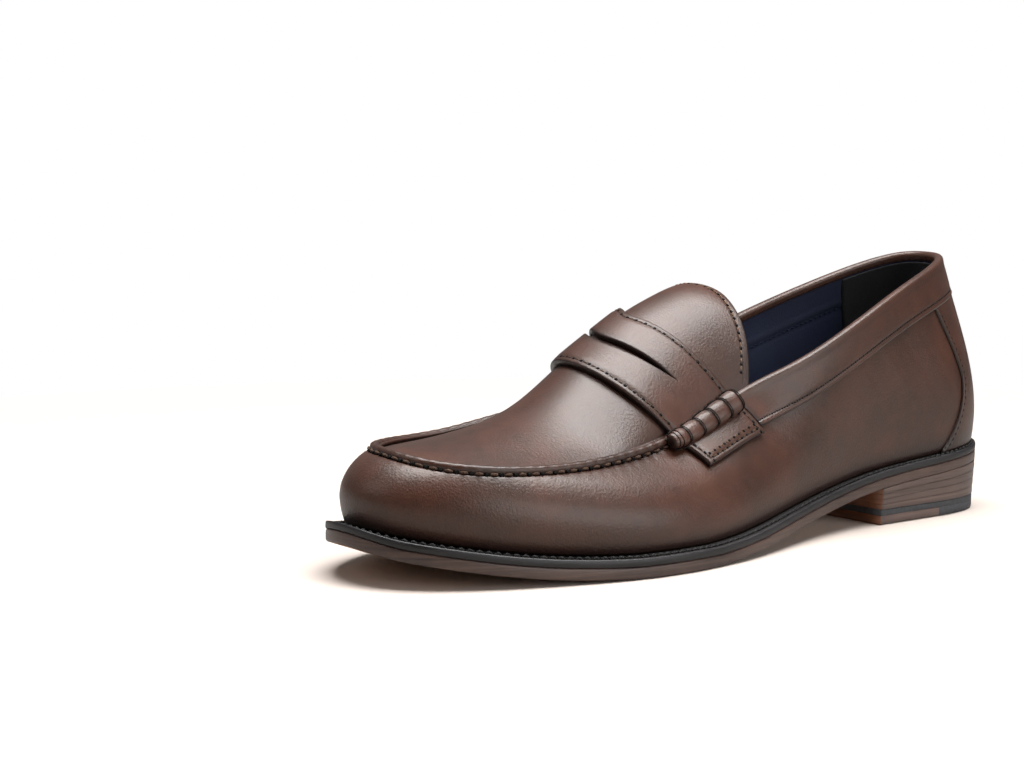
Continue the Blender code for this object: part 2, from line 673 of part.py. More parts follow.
def build_beef_rolls(root):
    """A thread-lashed roll of leather on each side of the strap, over the seam."""
    for name, side in (("beef_roll_lateral", 1), ("beef_roll_medial", -1)):
        stations = np.linspace(7.34, 6.1, 21)
        wave = np.abs(np.sin(np.linspace(0, ROLL_BULGES * math.pi, 21)))
        radii = ROLL_RADIUS * (0.72 + 0.28 * wave)
        base = 0.4 + LEATHER + 2 * GAP
        sections = []
        for station, radius in zip(stations, radii):
            half = np.linalg.norm(top_edge(station) - top_edge(LOOP - station)) / 2
            ring_points = []
            for turn in np.linspace(0, math.pi, 7):
                lift = base + radius * math.sin(turn)
                inward = radius * math.cos(turn)
                if inward >= 0:
                    across = side * (1 - inward / (half * 1.35))
                    ring_points.append(arch(np.array(station), np.array(across), lift))
                else:
                    sided = np.array(station if side > 0 else LOOP - station)
                    ring_points.append(wall(sided, height_below_top(sided, -inward), lift))
            sections.append(ring_points)
        sweep(name, np.array(sections), LEATHER_BROWN, root, closed=False)


def build_collar(root):
    """The topline band, from one strap tab round the heel to the other."""
    stations = spaced(-COLLAR_END, COLLAR_END)
    low = height_below_top(stations, COLLAR_WIDTH)
    share = np.linspace(0, 1, 3)[None, :]
    heights = low[:, None] * (1 - share) + share
    lean = 1 - 0.052 * (1 - share) * smoothstep(3, COLLAR_END, np.abs(stations))[:, None]
    grid = stations[:, None] * lean
    sheet("collar", wall(grid, heights, 2 * GAP + BAND), wall(grid, heights, 2 * GAP), LEATHER_BROWN, root)


def build_backstay(root):
    """The heel patch: wide at the welt and under the collar, narrow between them."""
    share = np.linspace(0, 1, 7)[None, :]
    reach = np.interp(share, (0, 0.2, 0.5, 1), (2.35, 2.05, 1.8, 2.15))
    across = np.linspace(-1, 1, 17)[:, None]
    grid = across * reach
    high = height_below_top(grid, np.full(grid.shape, COLLAR_WIDTH + 1.5))
    heights = 0.01 * (1 - share) + high * share
    sheet("backstay", wall(grid, heights, 2 * GAP + BAND), wall(grid, heights, 2 * GAP), LEATHER_BROWN,
          root)


def tongue_rear(across):
    """Station of the tongue's round free edge."""
    from_tip = across - 0.2
    medial = 0.5 * smoothstep(0, 1.12, -from_tip)
    return 5.5 + np.where(from_tip > 0, 0.6 * np.abs(from_tip) ** 2.7, medial)


def build_tongue(hinge):
    """The tongue's free part, which flexes about the line between the two throat corners."""
    edge = 0.92
    for name, outer, thick, spec, trim in (
            ("tongue", 0.0, LEATHER, LEATHER_BROWN, 0.0),
            ("tongue_lining", -LEATHER - GAP, LINING, LINING_BLUE, 0.04)):
        arch_sheet(
            name,
            lambda across: strap_rear(across) - 0.045,
            lambda across, cutback=trim: tongue_rear(across) + cutback,
            edge - trim, 7, 13, outer, outer - thick, spec, hinge)


def build():
    for old in list(bpy.data.objects):
        bpy.data.objects.remove(old)
    root = bpy.data.objects.new("loafer", None)
    bpy.context.scene.collection.objects.link(root)
    hinge = bpy.data.objects.new("tongue_hinge", None)
    bpy.context.scene.collection.objects.link(hinge)
    bend = arch(np.array(strap_rear(0.0)), np.array(0.0), -LEATHER / 2)
    hinge.location = (0, bend[1] * MM, bend[2] * MM)

    shank_holes, head_holes = build_nails(root)
    build_sole(root, shank_holes, head_holes)
    build_heel(root, shank_holes)
    build_vamp(root)
    build_linings(root)
    build_apron(root)
    seam_cord("apron_seam_thread", spaced(7.75, LOOP - 7.75), 1.5, 0.9, 0.5, root)
    build_strap(root)
    build_beef_rolls(root)
    build_collar(root)
    build_backstay(root)
    build_tongue(hinge)


build()
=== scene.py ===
"""The visible left penny loafer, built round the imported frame.

Lengths are in millimetres and become metres when a mesh is made. +X is the outer (lateral) side of the
shoe, the toe points to -Y, +Z is up. Round the shoe, a place is a station number: 0 is the back of the
heel, 12 the tip of the toe, 0 to 12 run down the lateral side and 12 to 24 come back on the medial side.
"""

import math

import bmesh
import bpy
import numpy as np
from mathutils import Matrix, Vector


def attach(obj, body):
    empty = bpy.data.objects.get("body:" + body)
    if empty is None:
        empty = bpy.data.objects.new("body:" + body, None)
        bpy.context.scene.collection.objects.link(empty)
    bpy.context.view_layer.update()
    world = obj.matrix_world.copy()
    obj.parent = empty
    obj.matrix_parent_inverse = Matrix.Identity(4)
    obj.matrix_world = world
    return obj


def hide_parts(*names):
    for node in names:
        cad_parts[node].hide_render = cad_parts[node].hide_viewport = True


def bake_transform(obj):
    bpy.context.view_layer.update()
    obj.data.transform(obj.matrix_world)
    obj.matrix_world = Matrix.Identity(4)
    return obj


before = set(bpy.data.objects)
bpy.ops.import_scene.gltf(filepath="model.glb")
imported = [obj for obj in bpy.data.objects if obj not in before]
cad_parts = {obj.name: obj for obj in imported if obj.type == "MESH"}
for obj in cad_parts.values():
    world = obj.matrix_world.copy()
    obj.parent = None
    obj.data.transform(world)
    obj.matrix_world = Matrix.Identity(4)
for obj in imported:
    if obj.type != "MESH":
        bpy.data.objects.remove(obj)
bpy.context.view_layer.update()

MM = 0.001
SHOE, TONGUE = "shoe", "tongue"

# ---------------------------------------------------------------- the last: sizes shared with the frame
# Stations: sole outline x, y, then the upper's top edge x, y, z (apron seam in front, topline behind).
STATIONS = np.array([
    (0.0, 38.0, 0.0, 22.4, 103.0),
    (20.0, 31.5, 11.5, 16.4, 102.0),
    (31.0, 11.0, 21.5, -1.0, 98.0),
    (32.5, -22.0, 28.0, -28.0, 89.5),
    (34.5, -55.0, 31.5, -57.0, 77.5),
    (41.0, -88.0, 31.0, -86.0, 65.0),
    (49.5, -118.0, 27.0, -111.0, 55.0),
    (55.0, -147.0, 29.5, -140.0, 42.5),
    (55.5, -175.0, 34.0, -170.0, 37.0),
    (49.5, -203.0, 35.5, -198.0, 35.5),
    (39.0, -232.0, 31.5, -225.5, 36.3),
    (22.5, -256.0, 19.0, -243.0, 38.6),
    (0.0, -265.0, 0.0, -248.5, 41.0),
    (-21.0, -257.5, -17.0, -242.5, 40.7),
    (-35.5, -236.0, -28.5, -226.0, 39.8),
    (-43.0, -207.0, -33.0, -200.5, 40.6),
    (-46.5, -175.0, -33.5, -171.0, 44.5),
    (-44.5, -143.0, -30.0, -140.0, 48.8),
    (-38.0, -108.0, -27.0, -111.0, 58.0),
    (-31.5, -75.0, -29.0, -84.0, 69.0),
    (-29.5, -43.0, -29.5, -54.0, 79.5),
    (-31.0, -10.0, -27.5, -22.0, 89.5),
    (-29.5, 14.0, -20.5, 3.0, 98.0),
    (-19.0, 32.0, -11.5, 18.4, 102.5),
])
LOOP = float(len(STATIONS))
TOE = LOOP / 2
# Height of the sole's underside, of the middle of the instep, and the upper's margin on the welt, along y.
SOLE_Y = (-265.0, -260.0, -250.0, -225.0, -200.0, -180.0, -145.0, -110.0, -75.0, -38.0, 0.0, 38.0)
SOLE_Z = (13.0, 10.6, 8.0, 3.7, 1.0, 0.0, 0.0, 3.4, 8.7, 14.2, 17.6, 21.0)
CREST_Y = (-248.5, -240.0, -225.0, -205.0, -185.0, -165.0, -150.0, -135.0, -120.0, -105.0, -95.0)
CREST_Z = (41.0, 41.6, 43.0, 46.2, 52.6, 64.9, 74.3, 83.4, 90.2, 94.2, 93.4)
CREST_SHIFT = -0.28
MARGIN_Y = (-265.0, -230.0, -170.0, -100.0, -60.0, -20.0, 38.0)
MARGIN = (7.0, 6.5, 6.0, 5.0, 4.2, 3.4, 3.2)
# Heights above the underside of the sole; FOOT_LIFT is the upper's height over the welt.
OUTSOLE = 4.2
WELT_TOP = 7.0
INSOLE_TOP = 10.8
FOOT_LIFT = 0.3
# Heel: y of its front face and of the top piece's split, the top piece's height, and the number of lifts in
# the frame and here. A slab is this many points wide.
BREAST_Y = -38.0
TOP_PIECE_SPLIT = -3.0
TOP_PIECE = 6.0
LIFTS = 3
VISUAL_LIFTS = 4
SLAB_COLUMNS = 9
# Strap: lengths of its side tabs, reach and half width of the slot as shares, height over the skin and
# thickness.
FRONT_TAB = 16.5
REAR_TAB = 18.0
SLOT_REACH = 0.71
SLOT_HALF = 0.045
STRAP_LIFT = 0.4
STRAP_THICK = 1.9
# Collar: station of its ends, width, and the slant of the ends as a share.
COLLAR_END = 6.13
COLLAR_WIDTH = 15.0
COLLAR_SLANT = 0.052
# Seam, rolls and stitches. The first three are in stations.
SEAM_START = 6.95
GRIP_STATION = 2.35
TONGUE_STITCH = 0.11
SEAM_PITCH = 5.0
ROLL_BULGES = 5
THREAD_RADIUS = 0.21
# The welt's stitches lie at this share of its margin; the sock lining lies this far in from the outline.
WELT_STITCH = 0.52
SOCK_INSET = 7.4


# ---------------------------------------------------------------- curves
def spline(knots, values):
    """A natural cubic spline through values, which can be numbers or points, at knots."""
    knots, values = np.asarray(knots, float), np.asarray(values, float)
    count = len(knots)
    step = np.diff(knots)
    slope = (np.diff(values, axis=0).T / step).T
    matrix, right = np.eye(count), np.zeros_like(values)
    for i in range(1, count - 1):
        matrix[i, i - 1:i + 2] = step[i - 1], 2 * (step[i - 1] + step[i]), step[i]
        right[i] = 6 * (slope[i] - slope[i - 1])
    second = np.linalg.solve(matrix, right)

    def at(place):
        place = np.clip(np.asarray(place, float), knots[0], knots[-1])
        i = np.clip(np.searchsorted(knots, place) - 1, 0, count - 2)
        part, size = (place - knots[i]) / step[i], step[i] ** 2 / 6
        if values.ndim > 1:
            part, size = part[..., None], size[..., None]
        rest = 1 - part
        return (rest * values[i] + part * values[i + 1]
                + size * ((rest ** 3 - rest) * second[i] + (part ** 3 - part) * second[i + 1]))

    return at


def loop_spline(values):
    """A closed curve through the stations' values: a spline through three rounds of them."""
    count = len(values)
    three_rounds = spline(np.arange(-count, 2 * count), np.tile(values, (3, 1)))
    return lambda station: three_rounds(np.asarray(station, float) % count)


def smoothstep(low, high, value):
    """0 below low, 1 above high, and smooth between."""
    part = np.clip((value - low) / (high - low), 0, 1)
    return part * part * (3 - 2 * part)


def hump(value, middle, width):
    """A smooth bump of height 1."""
    return np.exp(-((value - middle) / width) ** 2)


def unit(vectors):
    return vectors / np.linalg.norm(vectors, axis=-1, keepdims=True)


def round_angles(count):
    """Angles of count points round a circle."""
    return np.arange(count) * 2 * math.pi / count


outline = loop_spline(STATIONS[:, :2])
top_edge = loop_spline(STATIONS[:, 2:])
crest = spline(CREST_Y, CREST_Z)
sole_curve = spline(SOLE_Y, SOLE_Z)


def sole_bottom(y):
    """Height of the sole's underside, which is flat under the ball of the foot."""
    flat = (y > SOLE_Y[5]) & (y < SOLE_Y[6])
    return np.where(flat, 0, np.maximum(sole_curve(y), 0))


def margin(y):
    """How far in from the outline the upper meets the welt."""
    return np.interp(y, MARGIN_Y, MARGIN)


def plan_outward(curve, station):
    """Unit outward direction of a closed curve, in plan."""
    along = unit((curve(station + 0.01) - curve(station - 0.01))[..., :2])
    return np.stack([-along[..., 1], along[..., 0]], -1)


def inset_outline(station, inset):
    """The sole outline moved in by inset."""
    return outline(station) - plan_outward(outline, station) * np.asarray(inset, float)[..., None]


def wall_skin(station, height):
    """A point of the upper's side: height 0 is at the welt, 1 at the top edge."""
    station, height = np.broadcast_arrays(np.asarray(station, float), np.asarray(height, float))
    edge = outline(station)
    out = plan_outward(outline, station)
    foot_plan = edge - out * margin(edge[..., 1])[..., None]
    foot_z = sole_bottom(edge[..., 1]) + WELT_TOP + FOOT_LIFT
    foot = np.concatenate([foot_plan, foot_z[..., None]], -1)
    top = top_edge(station)
    rise = top[..., 2] - foot[..., 2]
    setback = ((foot - top)[..., :2] * out).sum(-1)
    y = edge[..., 1]
    toe_share = 1 - smoothstep(-215, -130, y)
    fore_share = 1 - smoothstep(-150, -70, y)
    heel_share = smoothstep(-20, 30, y)
    low_out = 2.5 + 4.0 * toe_share + 2.2 * heel_share
    low_up = 0.35 + 0.17 * fore_share
    high_out = 2.0 + 3.8 * heel_share + fore_share * (0.6 * setback - 2.0)
    high_down = 0.33 - 0.25 * toe_share
    out3 = np.concatenate([out, np.zeros_like(foot_z)[..., None]], -1)
    up = np.array([0.0, 0.0, 1.0])
    first = foot + out3 * low_out[..., None] + up * (rise * low_up)[..., None]
    second = top + out3 * high_out[..., None] - up * (rise * high_down)[..., None]
    h = height[..., None]
    return (foot * (1 - h) ** 3 + 3 * first * h * (1 - h) ** 2
            + 3 * second * h ** 2 * (1 - h) + top * h ** 3)


def arch_skin(station, across):
    """A point of the instep: across is 1 at the lateral seam and -1 at the medial seam."""
    station, across = np.broadcast_arrays(np.asarray(station, float), np.asarray(across, float))
    lateral, medial = top_edge(station), top_edge(LOOP - station)
    share = ((1 + across) / 2)[..., None]
    chord = medial * (1 - share) + lateral * share
    middle = (lateral + medial) / 2
    peak = CREST_SHIFT * smoothstep(-190, -130, middle[..., 1])
    low = crest(middle[..., 1]) - (lateral[..., 2] * (1 + peak) + medial[..., 2] * (1 - peak)) / 2
    from_peak = np.abs(across - peak) / (1 - peak * np.sign(across - peak))
    hollow = 1.7 - 0.7 * smoothstep(-185, -150, middle[..., 1])
    chord[..., 2] += low * np.maximum(1 - from_peak ** 2.2, 0) ** hollow
    return chord


def normals_of(skin, first, second, turn):
    """Unit normals of a skin; turn is 1 or -1 so that they point out."""
    step = 1e-3
    across = skin(first + step, second) - skin(first - step, second)
    along = skin(first, second + step) - skin(first, second - step)
    return unit(np.cross(across, along) * turn)


def wall(station, height, offset=0.0):
    """A point offset outwards from the upper's side."""
    normal = normals_of(wall_skin, station, height, -1)
    return wall_skin(station, height) + normal * np.asarray(offset, float)[..., None]


def arch(station, across, offset=0.0):
    """A point offset outwards from the instep."""
    normal = normals_of(arch_skin, station, across, 1)
    return arch_skin(station, across) + normal * np.asarray(offset, float)[..., None]


TABLE_STATIONS = np.linspace(0, LOOP, 481)
TABLE_STEP = 0.5
TABLE_DROPS = np.arange(0, 80.1, TABLE_STEP)


def make_drop_table():
    """Height shares of the points that lie set distances down the wall from its top edge."""
    shares = np.linspace(1, 0, 161)
    points = wall_skin(TABLE_STATIONS[:, None], shares[None, :])
    steps = np.linalg.norm(np.diff(points, axis=1), axis=2)
    lengths = np.concatenate([np.zeros((len(steps), 1)), np.cumsum(steps, 1)], 1)
    return np.stack([np.interp(TABLE_DROPS, row, shares) for row in lengths])


DROP_TABLE = make_drop_table()


def height_at_drop(station, drop):
    """Height share of the point that lies drop millimetres down the wall, from the table."""
    station, drop = np.broadcast_arrays(np.asarray(station, float), np.asarray(drop, float))
    s = (station % LOOP) / LOOP * (len(TABLE_STATIONS) - 1)
    d = np.clip(drop, 0, TABLE_DROPS[-1] - 0.01) / TABLE_STEP
    i, j = np.floor(s).astype(int), np.floor(d).astype(int)
    i = np.minimum(i, len(TABLE_STATIONS) - 2)
    a, b = s - i, d - j
    near = DROP_TABLE[i, j] * (1 - b) + DROP_TABLE[i, j + 1] * b
    far = DROP_TABLE[i + 1, j] * (1 - b) + DROP_TABLE[i + 1, j + 1] * b
    return near * (1 - a) + far * a


def side(station, drop, offset=0.0):
    """A point drop millimetres down the upper's side; a negative drop goes on above the top edge."""
    station, drop, offset = np.broadcast_arrays(
        np.asarray(station, float), np.asarray(drop, float), np.asarray(offset, float))
    below = wall(station, height_at_drop(station, drop), offset)
    rise = unit(wall_skin(station, 1.0) - wall_skin(station, 0.97))
    return below + rise * np.maximum(-drop, 0)[..., None]


def seam_frame(station):
    """Point, up and inward directions at the upper's top edge."""
    point = top_edge(station)
    along = unit(top_edge(station + 0.01) - top_edge(station - 0.01))
    medial = station > TOE
    over = normals_of(arch_skin, np.where(medial, LOOP - station, station), np.where(medial, -0.97, 0.97), 1)
    up = unit(over + normals_of(wall_skin, station, 0.97, -1))
    inward = unit(np.cross(along, up))
    return point, unit(np.cross(inward, along)), inward


def arch_place(plan):
    """Station and place across of the instep's points above the plan positions."""
    lateral = np.linspace(4, TOE, 60)
    station = np.interp(plan[..., 1], top_edge(lateral)[::-1, 1], lateral[::-1])
    across = np.zeros(station.shape)
    step = 1e-4
    for _ in range(12):
        here = arch_skin(station, across)[..., :2]
        by_station = (arch_skin(station + step, across)[..., :2] - here) / step
        by_across = (arch_skin(station, across + step)[..., :2] - here) / step
        miss = plan - here
        size = by_station[..., 0] * by_across[..., 1] - by_station[..., 1] * by_across[..., 0]
        station = station + (miss[..., 0] * by_across[..., 1] - miss[..., 1] * by_across[..., 0]) / size
        across = across + (by_station[..., 0] * miss[..., 1] - by_station[..., 1] * miss[..., 0]) / size
    return station, across


# ---------------------------------------------------------------- strap and tongue shapes
def strap_front(across):
    """Station of the strap's front edge, which is a bow."""
    from_top = across + 0.1
    return 7.81 - np.where(from_top > 0, 0.49, 0.76) * np.abs(from_top) ** 2.2


def strap_rear(across):
    """Station of the strap's rear edge."""
    from_top = across + 0.15
    return 6.885 - np.where(from_top > 0, 0.58, 0.89) * np.abs(from_top) ** 1.6


def strap_point(share, girth, offset):
    """A point of the strap: share runs from front to rear edge, girth from -2 to 2, with the seam at 1."""
    share, girth, offset = np.broadcast_arrays(share, girth, np.asarray(offset, float))
    on_arch = np.clip(girth, -1, 1)
    down = np.clip(np.abs(girth) - 1, 0, 1)
    front = strap_front(on_arch) - 0.3 * down
    rear = strap_rear(on_arch) - 0.38 * down
    station = front * (1 - share) + rear * share
    bridge = arch(station, on_arch, offset)
    sided = np.where(girth < 0, LOOP - station, station)
    tab = FRONT_TAB * (1 - share) + REAR_TAB * share
    leg = side(sided, down * tab, offset)
    blend = smoothstep(0.93, 1.0, np.abs(girth))[..., None]
    lean = side(sided, 0.0, offset)
    inner = bridge * (1 - blend) + (bridge + lean) / 2 * blend
    start = 1 - smoothstep(1.0, 1.08, np.abs(girth))[..., None]
    outer = leg * (1 - start) + (arch(station, np.sign(girth), offset) + leg) / 2 * start
    return np.where((np.abs(girth) <= 1)[..., None], inner, outer)


def strap_proud(share, girth):
    """How far the strap's front edge stands off the instep."""
    return 0.9 * (1 - share) ** 2 * np.clip(1 - girth ** 2, 0, 1)


def tongue_rear(across):
    """Station of the tongue's round free edge."""
    from_tip = across - 0.2
    medial = 0.5 * smoothstep(0, 1.12, -from_tip)
    return 5.5 + np.where(from_tip > 0, 0.6 * np.abs(from_tip) ** 2.7, medial)


# ---------------------------------------------------------------- meshes
def put_in_scene(name, data):
    made = bpy.data.objects.new(name, data)
    bpy.context.scene.collection.objects.link(made)
    return made


def make_object(name, points, faces, look, body, shade=None, node=None):
    """A smooth mesh from points in millimetres. Shade, 0 to 1, darkens leather: darker burnished cut edges
    and painted shade in grooves, creases and undersides; node is what it replaces.
    """
    mesh = bpy.data.meshes.new(name)
    mesh.from_pydata((np.asarray(points, float) * MM).tolist(), [], [list(f) for f in faces])
    mesh.validate()
    if shade is not None:
        # The attribute holds darker burnished edges and painted shade.
        layer = mesh.attributes.new("burnish_and_shade", "FLOAT", "POINT")
        layer.data.foreach_set("value", np.clip(shade, 0, 1).astype(np.float32).ravel())
    shape = bmesh.new()
    shape.from_mesh(mesh)
    bmesh.ops.recalc_face_normals(shape, faces=shape.faces)
    shape.to_mesh(mesh)
    shape.free()
    mesh.shade_smooth()
    made = put_in_scene(name, mesh)
    for entry in look if isinstance(look, list) else [look]:
        mesh.materials.append(entry)
    if body:
        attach(made, body)
    if node:
        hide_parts(node)
    return made


def grid_faces(rows, columns, start=0, flip=False):
    """Faces of a grid of points that are numbered row by row."""
    r = np.arange(rows - 1)[:, None]
    c = np.arange(columns - 1)[None, :]
    low = start + r * columns + c
    quads = np.stack([low, low + 1, low + columns + 1, low + columns], -1).reshape(-1, 4)
    return quads[:, ::-1] if flip else quads


def grid_rim(rows, columns):
    """Indices of a grid's border points, in order."""
    index = np.arange(rows * columns).reshape(rows, columns)
    return np.concatenate([index[0, :-1], index[:-1, -1], index[-1, :0:-1], index[:0:-1, 0]])


def sheet(name, outer, inner, look, body, shade, node):
    """A closed solid between two grids of points with the same rows and columns."""
    rows, columns = outer.shape[:2]
    count = rows * columns
    rim = grid_rim(rows, columns)
    after = np.roll(rim, -1)
    edge = np.stack([rim, after, after + count, rim + count], -1)
    faces = np.concatenate([grid_faces(rows, columns), grid_faces(rows, columns, count, True), edge])
    points = np.concatenate([outer.reshape(-1, 3), inner.reshape(-1, 3)])
    return make_object(name, points, faces, look, body, np.tile(shade.ravel(), 2), node)


def ring_faces(count, around, closed=False):
    """Faces between rings of points, one after another."""
    i = np.arange(count if closed else count - 1)[:, None]
    j = np.arange(around)[None, :]
    after, beside = (i + 1) % count, (j + 1) % around
    quads = np.stack([i * around + j, i * around + beside, after * around + beside, after * around + j], -1)
    return quads.reshape(-1, 4)


def rings(middle, wide_way, high_way, wide, high):
    """Rings of points round middles: wide and high hold, for each angle, the steps in the two directions."""
    return (middle[..., None, :] + wide_way[..., None, :] * np.asarray(wide)[..., None]
            + high_way[..., None, :] * np.asarray(high)[..., None])


def sweep(name, sections, look, shade, node=None, closed=False):
    """A closed solid from rings of points."""
    count, around = sections.shape[:2]
    faces = ring_faces(count, around, closed).tolist()
    if not closed:
        faces += [list(range(around)), list(range((count - 1) * around, count * around))]
    shade = np.broadcast_to(shade, (count, around))
    return make_object(name, sections.reshape(-1, 3), faces, look, SHOE, shade, node)


def edge_distance(points):
    """Distance of each grid point to the nearer end of its column, and of its row."""
    found = []
    for axis in (0, 1):
        steps = np.linalg.norm(np.diff(points, axis=axis), axis=2)
        total = np.cumsum(steps, axis)
        zeros = np.zeros_like(np.take(total, [0], axis))
        gone = np.concatenate([zeros, total], axis)
        left = np.take(gone, [-1], axis) - gone
        found.append(np.minimum(gone, left))
    return found


def rounded(distance, radius):
    """How far a rounded edge falls away at a distance from the edge."""
    reach = np.clip(1 - distance / radius, 0, 1)
    return radius * (1 - np.sqrt(np.maximum(1 - reach ** 2, 0)))


def arc_positions(path):
    """Distances along a path of its points."""
    steps = np.linalg.norm(np.diff(path, axis=0), axis=1)
    return np.r_[0, np.cumsum(steps)]


def along_path(path, ups, places):
    """Points and up directions at distances along a path."""
    lengths = arc_positions(path)
    point, up = (np.stack([np.interp(places, lengths, column) for column in rows.T], -1)
                 for rows in (path, ups))
    return point, unit(up)


def stitches(name, path, ups, look, body=SHOE, pitch=2.7, length=2.0, radius=0.32, sink=0.1, hole=0.0,
             node=None):
    """A row of stitches whose ends go down into the leather; hole is the radius of the needle holes."""
    sections, sides = 7, 6
    total = arc_positions(path)[-1]
    count = max(int(total / pitch), 1)
    pitch = total / count
    starts = (np.arange(count) + 0.5) * pitch - length / 2
    turn = np.linspace(0, 1, sections)
    places = starts[:, None] + turn * length
    point, up = along_path(path, ups, places)
    ahead, _ = along_path(path, ups, places + 0.1)
    # The tiny number keeps the path's last point from a division by zero.
    beside = unit(np.cross(unit(ahead - point + 1e-9), up))
    arc = np.sin(turn * math.pi)
    lift = (arc ** 0.6 * 1.5 - 1.0) * radius - sink
    thick = radius * (0.55 + 0.45 * arc)[:, None]
    angles = round_angles(sides)
    middle = point + up * lift[:, None]
    points = rings(middle, up, beside, thick * np.sin(angles), thick * np.cos(angles)).reshape(-1, 3)
    tube = ring_faces(sections, sides)
    size = sections * sides
    faces = []
    for base in range(0, count * size, size):
        faces += (tube + base).tolist()
        faces.append([base + j for j in range(sides - 1, -1, -1)])
        faces.append([base + size - sides + j for j in range(sides)])
    threads = len(faces)
    if hole:
        spots, lids = needle_holes(path, ups, np.arange(count + 1) * pitch, hole, len(points))
        points = np.concatenate([points, spots])
        faces += lids
    made = make_object(name, points, faces, [look, HOLE], body, node=node)
    made.data.polygons.foreach_set("material_index", (np.arange(len(faces)) >= threads).astype(np.int32))
    return made


def sew(name, surface, height, look, body=SHOE, **settings):
    """Stitches along a line of a surface; surface takes a height above the leather."""
    path = surface(height)
    return stitches(name, path, unit(surface(height + 1.0) - path), look, body, **settings)


def needle_holes(path, ups, places, radius, start):
    """Flat dark beads of painted shade, for the holes where the thread goes through the leather."""
    sides = 8
    point, up = along_path(path, ups, places)
    ahead, _ = along_path(path, ups, places + 0.1)
    back, _ = along_path(path, ups, places - 0.1)
    along = unit(ahead - back)
    angles = round_angles(sides)
    rim = rings(point + 0.06 * up, along, unit(np.cross(along, up)),
                radius * np.cos(angles), radius * np.sin(angles))
    tips = np.stack([point + up * radius * 0.45, point - up * radius * 0.6], 1)
    spots = np.concatenate([rim, tips], 1).reshape(-1, 3)
    faces = []
    for base in range(start, start + len(spots), sides + 2):
        top, foot = base + sides, base + sides + 1
        for j in range(sides):
            after = base + (j + 1) % sides
            faces += [[base + j, after, top], [after, base + j, foot]]
    return spots, faces


# ---------------------------------------------------------------- materials
def set_inputs(tree, node, inputs):
    """Each input gets a value, or a link from a socket."""
    for key, value in inputs.items():
        if isinstance(value, bpy.types.NodeSocket):
            tree.links.new(value, node.inputs[key])
        else:
            node.inputs[key].default_value = value


def add_node(tree, kind, inputs=None, **settings):
    """A new shader node; kind is its type's name after ShaderNode."""
    node = tree.nodes.new("ShaderNode" + kind)
    for key, value in settings.items():
        setattr(node, key, value)
    set_inputs(tree, node, inputs or {})
    return node


def new_material(name):
    """A material, its tree and shader, and object coordinates in millimetres."""
    made = bpy.data.materials.new(name)
    made.use_nodes = True
    tree = made.node_tree
    shader = tree.nodes["Principled BSDF"]
    place = add_node(tree, "TexCoord").outputs["Object"]
    in_mm = add_node(tree, "VectorMath", {0: place, 1: (1000, 1000, 1000)}, operation="MULTIPLY")
    return made, tree, shader, in_mm.outputs[0]


def noise(tree, place, size, detail=3.0, roughness=0.5, stretch=(1, 1, 1)):
    """Cloudy noise whose blobs are about size millimetres across."""
    scale = tuple(v / size for v in stretch)
    scaled = add_node(tree, "VectorMath", {0: place, 1: scale}, operation="MULTIPLY")
    made = add_node(tree, "TexNoise",
                    {"Vector": scaled.outputs[0], "Scale": 1.0, "Detail": detail, "Roughness": roughness})
    return made.outputs[0]


def remap(tree, value, low, high, to_low=0.0, to_high=1.0):
    made = add_node(tree, "MapRange",
                    {"Value": value, "From Min": low, "From Max": high, "To Min": to_low, "To Max": to_high})
    return made.outputs[0]


def combine(tree, operation, first, second):
    return add_node(tree, "Math", {0: first, 1: second}, operation=operation).outputs[0]


def mix_colour(tree, factor, first, second):
    """First where factor is 0, second where it is 1; both are colours or sockets."""
    first, second = ((*c, 1) if isinstance(c, tuple) else c for c in (first, second))
    return add_node(tree, "Mix", {0: factor, 6: first, 7: second}, data_type="RGBA").outputs[2]


def set_bump(tree, shader, height, strength, depth_mm):
    bump = add_node(tree, "Bump", {"Strength": strength, "Distance": depth_mm * MM, "Height": height})
    set_inputs(tree, shader, {"Normal": bump.outputs[0]})


def burnish_and_shade_of(tree):
    """The burnished edges and painted shade stored in the mesh."""
    return add_node(tree, "Attribute", attribute_name="burnish_and_shade", attribute_type="GEOMETRY").outputs["Fac"]


def grain_height(tree, place, cell):
    """Calf grain: small rounded cells with finer noise."""
    scaled = add_node(tree, "VectorMath", {0: place, 1: (1 / cell,) * 3}, operation="MULTIPLY")
    cells = add_node(tree, "TexVoronoi", {"Vector": scaled.outputs[0], "Scale": 1.0}, feature="SMOOTH_F1")
    fine = noise(tree, place, cell * 0.5, 2)
    return combine(tree, "ADD", combine(tree, "MULTIPLY", cells.outputs["Distance"], -0.8),
                   combine(tree, "MULTIPLY", fine, 0.5))


def make_leather(name, light, mid, dark, roughness=0.36, cell=0.9, grain=0.22, coat=0.0):
    """Polished leather: cloudy tone, darker at burnished edges and with painted shade where the mesh's
    attribute says, grain and sheen.
    """
    made, tree, shader, place = new_material(name)
    cloud = noise(tree, place, 26, 4, 0.6)
    mottle = noise(tree, place, 5, 4, 0.6)
    tone = combine(tree, "ADD", remap(tree, cloud, 0.3, 0.7, 0, 0.65),
                   remap(tree, mottle, 0.3, 0.7, 0, 0.35))
    # The dark colour's share: burnished edges and painted shade from the mesh, with a little mottle.
    burnish_and_shade_share = combine(tree, "ADD", burnish_and_shade_of(tree), remap(tree, mottle, 0.35, 0.7, -0.12, 0.1))
    burnish_and_shade_share = add_node(tree, "Clamp", {"Value": burnish_and_shade_share}).outputs[0]
    set_inputs(tree, shader, {
        "Base Color": mix_colour(tree, burnish_and_shade_share, mix_colour(tree, tone, mid, light), dark),
        "Roughness": combine(tree, "ADD", roughness - 0.05, combine(tree, "MULTIPLY", mottle, 0.1)),
        "Coat Weight": coat, "Coat Roughness": 0.25, "Specular Tint": (1.0, 0.97, 0.94, 1)})
    soft = noise(tree, place, 3.2, 3)
    height = combine(tree, "ADD", grain_height(tree, place, cell), combine(tree, "MULTIPLY", soft, 0.25))
    set_bump(tree, shader, height, grain, 0.25)
    return made


